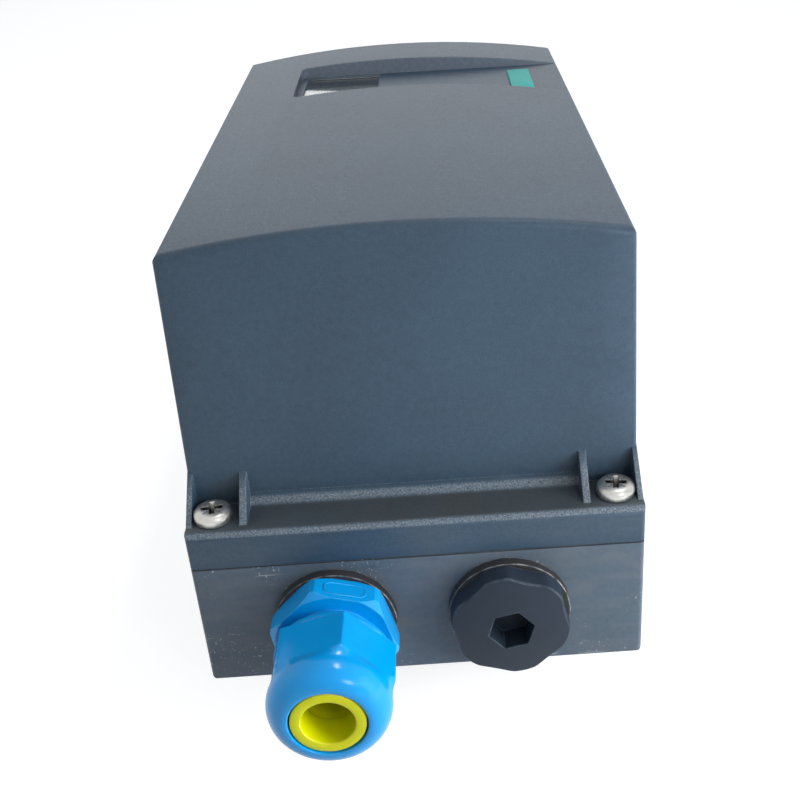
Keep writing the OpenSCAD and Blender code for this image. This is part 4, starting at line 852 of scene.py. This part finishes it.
# %% Port and insert threads
PORT_START_X, PORT_Z, PORT_R = 36.6, 15.5, 5.9
PORT_YS = (-43.5, -14.5, 14.5)
PORT_PITCH, PORT_TURNS, PORT_RIDGE = 1.337, 7.2, 0.5
INSERT_AT, INSERT_R, INSERT_START = 25.0, 2.5, 0.7
INSERT_PITCH, INSERT_TURNS, INSERT_RIDGE = 1.0, 7.5, 0.36

port_threads = new_piece("port_threads", [(PORT_START_X, y, PORT_Z) for y in PORT_YS])
apply_tree(
    port_threads, thread_tree, radius=PORT_R * MM, pitch=PORT_PITCH * MM, turns=PORT_TURNS,
    ridge=PORT_RIDGE * MM, tilt=(0, math.pi / 2, 0), finish=finishes["aluminium"],
)
belongs(as_plain_mesh(port_threads), "base", "aluminium")

corners = [(x, y, INSERT_START) for x in (-INSERT_AT, INSERT_AT) for y in (-INSERT_AT, INSERT_AT)]
insert_threads = new_piece("insert_threads", corners)
apply_tree(
    insert_threads, thread_tree, radius=INSERT_R * MM, pitch=INSERT_PITCH * MM, turns=INSERT_TURNS,
    ridge=INSERT_RIDGE * MM, tilt=(0, 0, 0), finish=finishes["brass"],
)
belongs(as_plain_mesh(insert_threads), "base", "brass")

# %% [markdown]
# ## Small plate in the recess
# A teal plate is stuck to the recess floor, at its shallow end. It is bare here. The plate is an
# outline with round corners, thickened by Solidify, and a Bevel takes the sharpness off its rim,
# which is where a thin plate catches the light. A plain box would look cut out of paper.

# %% Teal plate
PLATE_LOW, PLATE_HIGH = (31.0, 26.2), (37.2, 49.6)
PLATE_Z, PLATE_T, PLATE_R, PLATE_RIM = 94.32, 0.7, 0.6, 0.18
RIM_ANGLE = math.radians(50)


def round_corners(low, high, radius, height, steps=6):
    centres = [
        (high[0] - radius, high[1] - radius), (low[0] + radius, high[1] - radius),
        (low[0] + radius, low[1] + radius), (high[0] - radius, low[1] + radius),
    ]
    outline = []
    for quarter, (x, y) in enumerate(centres):
        for i in range(steps + 1):
            a = (quarter + i / steps) * math.pi / 2
            outline.append((x + radius * math.cos(a), y + radius * math.sin(a), height))
    return outline


outline = round_corners(PLATE_LOW, PLATE_HIGH, PLATE_R, PLATE_Z)
plate = new_piece("teal_plate", outline, [range(len(outline))])
body = plate.modifiers.new("thickness", "SOLIDIFY")
body.thickness = PLATE_T * MM
body.offset = 1.0
rim = plate.modifiers.new("rim", "BEVEL")
rim.width = PLATE_RIM * MM
rim.segments = 2
rim.limit_method = "ANGLE"
rim.angle_limit = RIM_ANGLE
# Lacquered sheet: an even teal with a satin face and a faint rolling wave
teal = smooth_moulding("teal_lacquered_sheet", "#10A59F", "#18AFA8", 0.5, 4, 0.03, ior=1.3)
plate.data.materials.append(teal)
belongs(as_plain_mesh(plate), "cover", "green_plastic")

# %% [markdown]
# ## Gland nut and its seal
# The nut is moulded in one piece: a thin collar, a hexagon for the spanner, and a dome that the
# flats run out into. Every point of its outside follows one rule, a radius that depends on the
# angle and on the distance along the axis. It is the hexagon, chamfered at its corners, and near
# the end it turns into the circle of the dome. A Boolean would leave hard seams there, so the skin
# is laid through rings of points that follow the rule. The yellow seal is a skin of plain circles.

# %% The rule of the nut's outside
GLAND_X, GLAND_Z, END_FACE_Y = -18.5, 14.9, -92.25
NUT_HEX, NUT_FLAT_END, NUT_ROUND, NUT_DOME, NUT_END = 13.8, 23.6, 25.6, 25.6, 31.2
NUT_FLATS, CORNER_R, COLLAR_R, CAP_R, LIP_R = 23.7, 13.6, 12.2, 12.45, 8.05
CHAMFER_START, CHAMFER_SLOPE = 23.0, 0.3
CORNER_TURN, SIXTH = math.radians(15), math.pi / 3


def nut_radius(angle, distance):
    off_flat = (angle - CORNER_TURN) % SIXTH - SIXTH / 2
    chamfer = CORNER_R - max(0.0, distance - CHAMFER_START) * CHAMFER_SLOPE
    hexagon = min(NUT_FLATS / 2 / math.cos(off_flat), chamfer)
    share = min(max((distance - NUT_FLAT_END) / (NUT_ROUND - NUT_FLAT_END), 0.0), 1.0)
    return hexagon + (CAP_R - hexagon) * share


for where, angle in (("corner", CORNER_TURN), ("flat", CORNER_TURN + SIXTH / 2)):
    print("nut radius at a", where, round(nut_radius(angle, NUT_HEX), 2), "mm")


# %% Nut and seal as skins of rings
def skin_of_rings(name, rings):
    shell = bmesh.new()
    loops = [[shell.verts.new([c * MM for c in point]) for point in ring] for ring in rings]
    for first, second in zip(loops, loops[1:] + loops[:1]):
        for i in range(len(first)):
            j = (i + 1) % len(first)
            shell.faces.new([first[i], first[j], second[j], second[i]])
    return shell_piece(name, shell)


def ring_on_axis(radius_at, distance, steps):
    turns = [CORNER_TURN + i * math.tau / steps for i in range(steps)]
    return [
        (GLAND_X + radius_at(a) * math.cos(a), END_FACE_Y - distance, GLAND_Z + radius_at(a) * math.sin(a))
        for a in turns
    ]


def circle_ring(radius, distance, steps):
    return ring_on_axis(lambda angle: radius, distance, steps)


NUT_STEPS, DOME_STEPS, SEAL_STEPS = 180, 14, 96
NUT_BACK, STEP_WIDTH = 12.8, 0.01
# Distances along the axis, close together where the corners run out
RUN_OUT, RUN_OUT_STEP, RUN_OUT_RINGS = 22.6, 0.2, 15
FLAT_RINGS = [NUT_HEX, 17, 20]
run_out = [RUN_OUT + RUN_OUT_STEP * i for i in range(RUN_OUT_RINGS)]
stations = FLAT_RINGS + run_out + [NUT_DOME]
rings = [circle_ring(COLLAR_R, d, NUT_STEPS) for d in (NUT_BACK, NUT_HEX - STEP_WIDTH)]
rings += [ring_on_axis(lambda a, d=d: nut_radius(a, d), d, NUT_STEPS) for d in stations]
for i in range(1, DOME_STEPS + 1):
    a = i / DOME_STEPS * math.pi / 2
    radius = LIP_R + (CAP_R - LIP_R) * math.cos(a)
    rings.append(circle_ring(radius, NUT_DOME + (NUT_END - NUT_DOME) * math.sin(a), NUT_STEPS))
NUT_BORE = [(7.83, 31.12), (7.75, 30.95), (7.75, 28.5), (9.5, 24.8), (9.5, NUT_BACK)]
rings += [circle_ring(radius, d, NUT_STEPS) for radius, d in NUT_BORE]
nut = skin_of_rings("domed_gland_nut", rings)
nut.data.materials.append(finishes["blue_plastic"])
belongs(as_plain_mesh(nut), "gland_cap", "blue_plastic", "gland_nut")

SEAL_PROFILE = [
    (5.55, 12), (7.9, 12), (7.9, 25.5), (7.42, 28), (7.42, 30.7), (7.36, 30.84), (7.22, 30.9),
    (5.48, 30.9), (5.36, 30.85), (5.3, 30.72), (5.3, 24.4), (5.55, 24.1),
]
seal = skin_of_rings("cable_seal", [circle_ring(radius, d, SEAL_STEPS) for radius, d in SEAL_PROFILE])
seal.data.materials.append(finishes["yellow_rubber"])
belongs(as_plain_mesh(seal), "gland_insert", "yellow_rubber", "gland_seal")

# %% [markdown]
# ## Blanking plug
# The second entry is shut by a plug with a slightly domed head. Its rim has six soft lobes for the
# fingers, and a hexagon socket takes a key. The rim follows a rule as the nut does: a circle with
# six shallow hollows, where a soft minimum rounds the corners between them. The skin starts inside
# the hollow spigot, runs round the head and ends on the socket's floor, and both ends are capped.

# %% Lobed plug
PLUG_X, PLUG_R, HOLLOW_R, HOLLOW_DEPTH = 18.5, 12.7, 25.4, 0.9
HOLLOW_TURN = SOCKET_TURN = math.radians(12)
SOFTNESS, PLUG_EDGE = 5.0, 0.2
SPIGOT_OUT, SPIGOT_IN, SPIGOT_END, SPIGOT_FLOOR = 9.95, 7.5, -12.0, -1.0
HEAD_BACK, HEAD_FRONT, DOME_R, SOCKET_HALF = 2.2, 8.2, 51.2, 4.3
PLUG_STEPS = 360


def within_sixth(angle, first):
    return (angle - first + SIXTH / 2) % SIXTH - SIXTH / 2


def plug_rim(angle):
    off = within_sixth(angle, HOLLOW_TURN)
    reach = PLUG_R - HOLLOW_DEPTH + HOLLOW_R
    hollow = reach * math.cos(off) - math.sqrt(HOLLOW_R**2 - (reach * math.sin(off)) ** 2)
    gap = abs(hollow - PLUG_R)
    return min(hollow, PLUG_R) - math.log(1 + math.exp(-SOFTNESS * gap)) / SOFTNESS


def socket_rim(angle):
    return SOCKET_HALF / math.cos(within_sixth(angle, SOCKET_TURN + SIXTH / 2))


def plug_ring(radius_at, distance_at):
    ring = []
    for i in range(PLUG_STEPS):
        a = i * math.tau / PLUG_STEPS
        radius = radius_at(a)
        x, z = PLUG_X + radius * math.cos(a), GLAND_Z + radius * math.sin(a)
        ring.append(Vector((x, END_FACE_Y - distance_at(radius), z)) * MM)
    return ring


def dome(radius):
    return HEAD_FRONT - DOME_R + math.sqrt(DOME_R**2 - radius**2)


spigot = [
    (SPIGOT_IN, SPIGOT_FLOOR), (SPIGOT_IN, SPIGOT_END), (SPIGOT_OUT, SPIGOT_END), (SPIGOT_OUT, HEAD_BACK),
]
loops = [plug_ring(lambda a, r=r: r, lambda r, d=d: d) for r, d in spigot]
loops.append(plug_ring(plug_rim, lambda r: HEAD_BACK))
loops.append(plug_ring(plug_rim, lambda r: dome(r) - PLUG_EDGE))
FACE_RINGS = 4
for i in range(FACE_RINGS + 1):
    share = 1 - i / FACE_RINGS
    loops.append(
        plug_ring(lambda a, s=share: socket_rim(a) + (plug_rim(a) - PLUG_EDGE - socket_rim(a)) * s, dome)
    )
loops.append(plug_ring(socket_rim, lambda r: HEAD_BACK))
shell = bmesh.new()
closed_stack(shell, loops)
plug = shell_piece("lobed_blanking_plug", shell)
plug.data.materials.append(finishes["black_plastic"])
belongs(as_plain_mesh(plug), "base", "black_plastic", "blanking_plug")

# %% [markdown]
# ## Raised field on the gland's hexagon
# The upper flat of the gland's hexagon carries a raised border around an empty field. The border
# is a closed curve with clipped corners, given a round section by the curve's bevel. It lies half
# sunk in the flat, so it reads as part of the moulding.

# %% Border on the hexagon
HEX_HALF, HEX_MID_Y = 12.0, -97.6
FLAT_TURN = math.radians(75)
FIELD_HALF_L, FIELD_HALF_W, FIELD_CLIP, BORDER_R = 4.3, 1.75, 0.9, 0.16

outward = Vector((math.cos(FLAT_TURN), 0, math.sin(FLAT_TURN)))
across = Vector((math.sin(FLAT_TURN), 0, -math.cos(FLAT_TURN)))
along = Vector((0, 1, 0))
centre = Vector((GLAND_X, HEX_MID_Y, GLAND_Z)) + outward * HEX_HALF
long_end, clipped = FIELD_HALF_L, FIELD_HALF_L - FIELD_CLIP
field = [
    (clipped, -FIELD_HALF_W), (long_end, -FIELD_HALF_W + FIELD_CLIP), (long_end, FIELD_HALF_W - FIELD_CLIP),
    (clipped, FIELD_HALF_W), (-clipped, FIELD_HALF_W), (-long_end, FIELD_HALF_W - FIELD_CLIP),
    (-long_end, -FIELD_HALF_W + FIELD_CLIP), (-clipped, -FIELD_HALF_W),
]
loop = bpy.data.curves.new("raised_field_border", "CURVE")
loop.dimensions = "3D"
loop.bevel_depth = BORDER_R * MM
loop.bevel_resolution = 2
spline = loop.splines.new("POLY")
spline.points.add(len(field) - 1)
for point, (u, v) in zip(spline.points, field):
    point.co = (*((centre + across * u + along * v) * MM), 1.0)
spline.use_cyclic_u = True
path = bpy.data.objects.new("border_path", loop)
bpy.context.scene.collection.objects.link(path)
border = new_piece("raised_field_border", [])
border.data = bpy.data.meshes.new_from_object(path.evaluated_get(bpy.context.evaluated_depsgraph_get()))
border.data.materials.clear()
border.data.materials.append(finishes["blue_plastic"])
border.data.shade_smooth()
bpy.data.objects.remove(path)
belongs(border, "base", "blue_plastic")
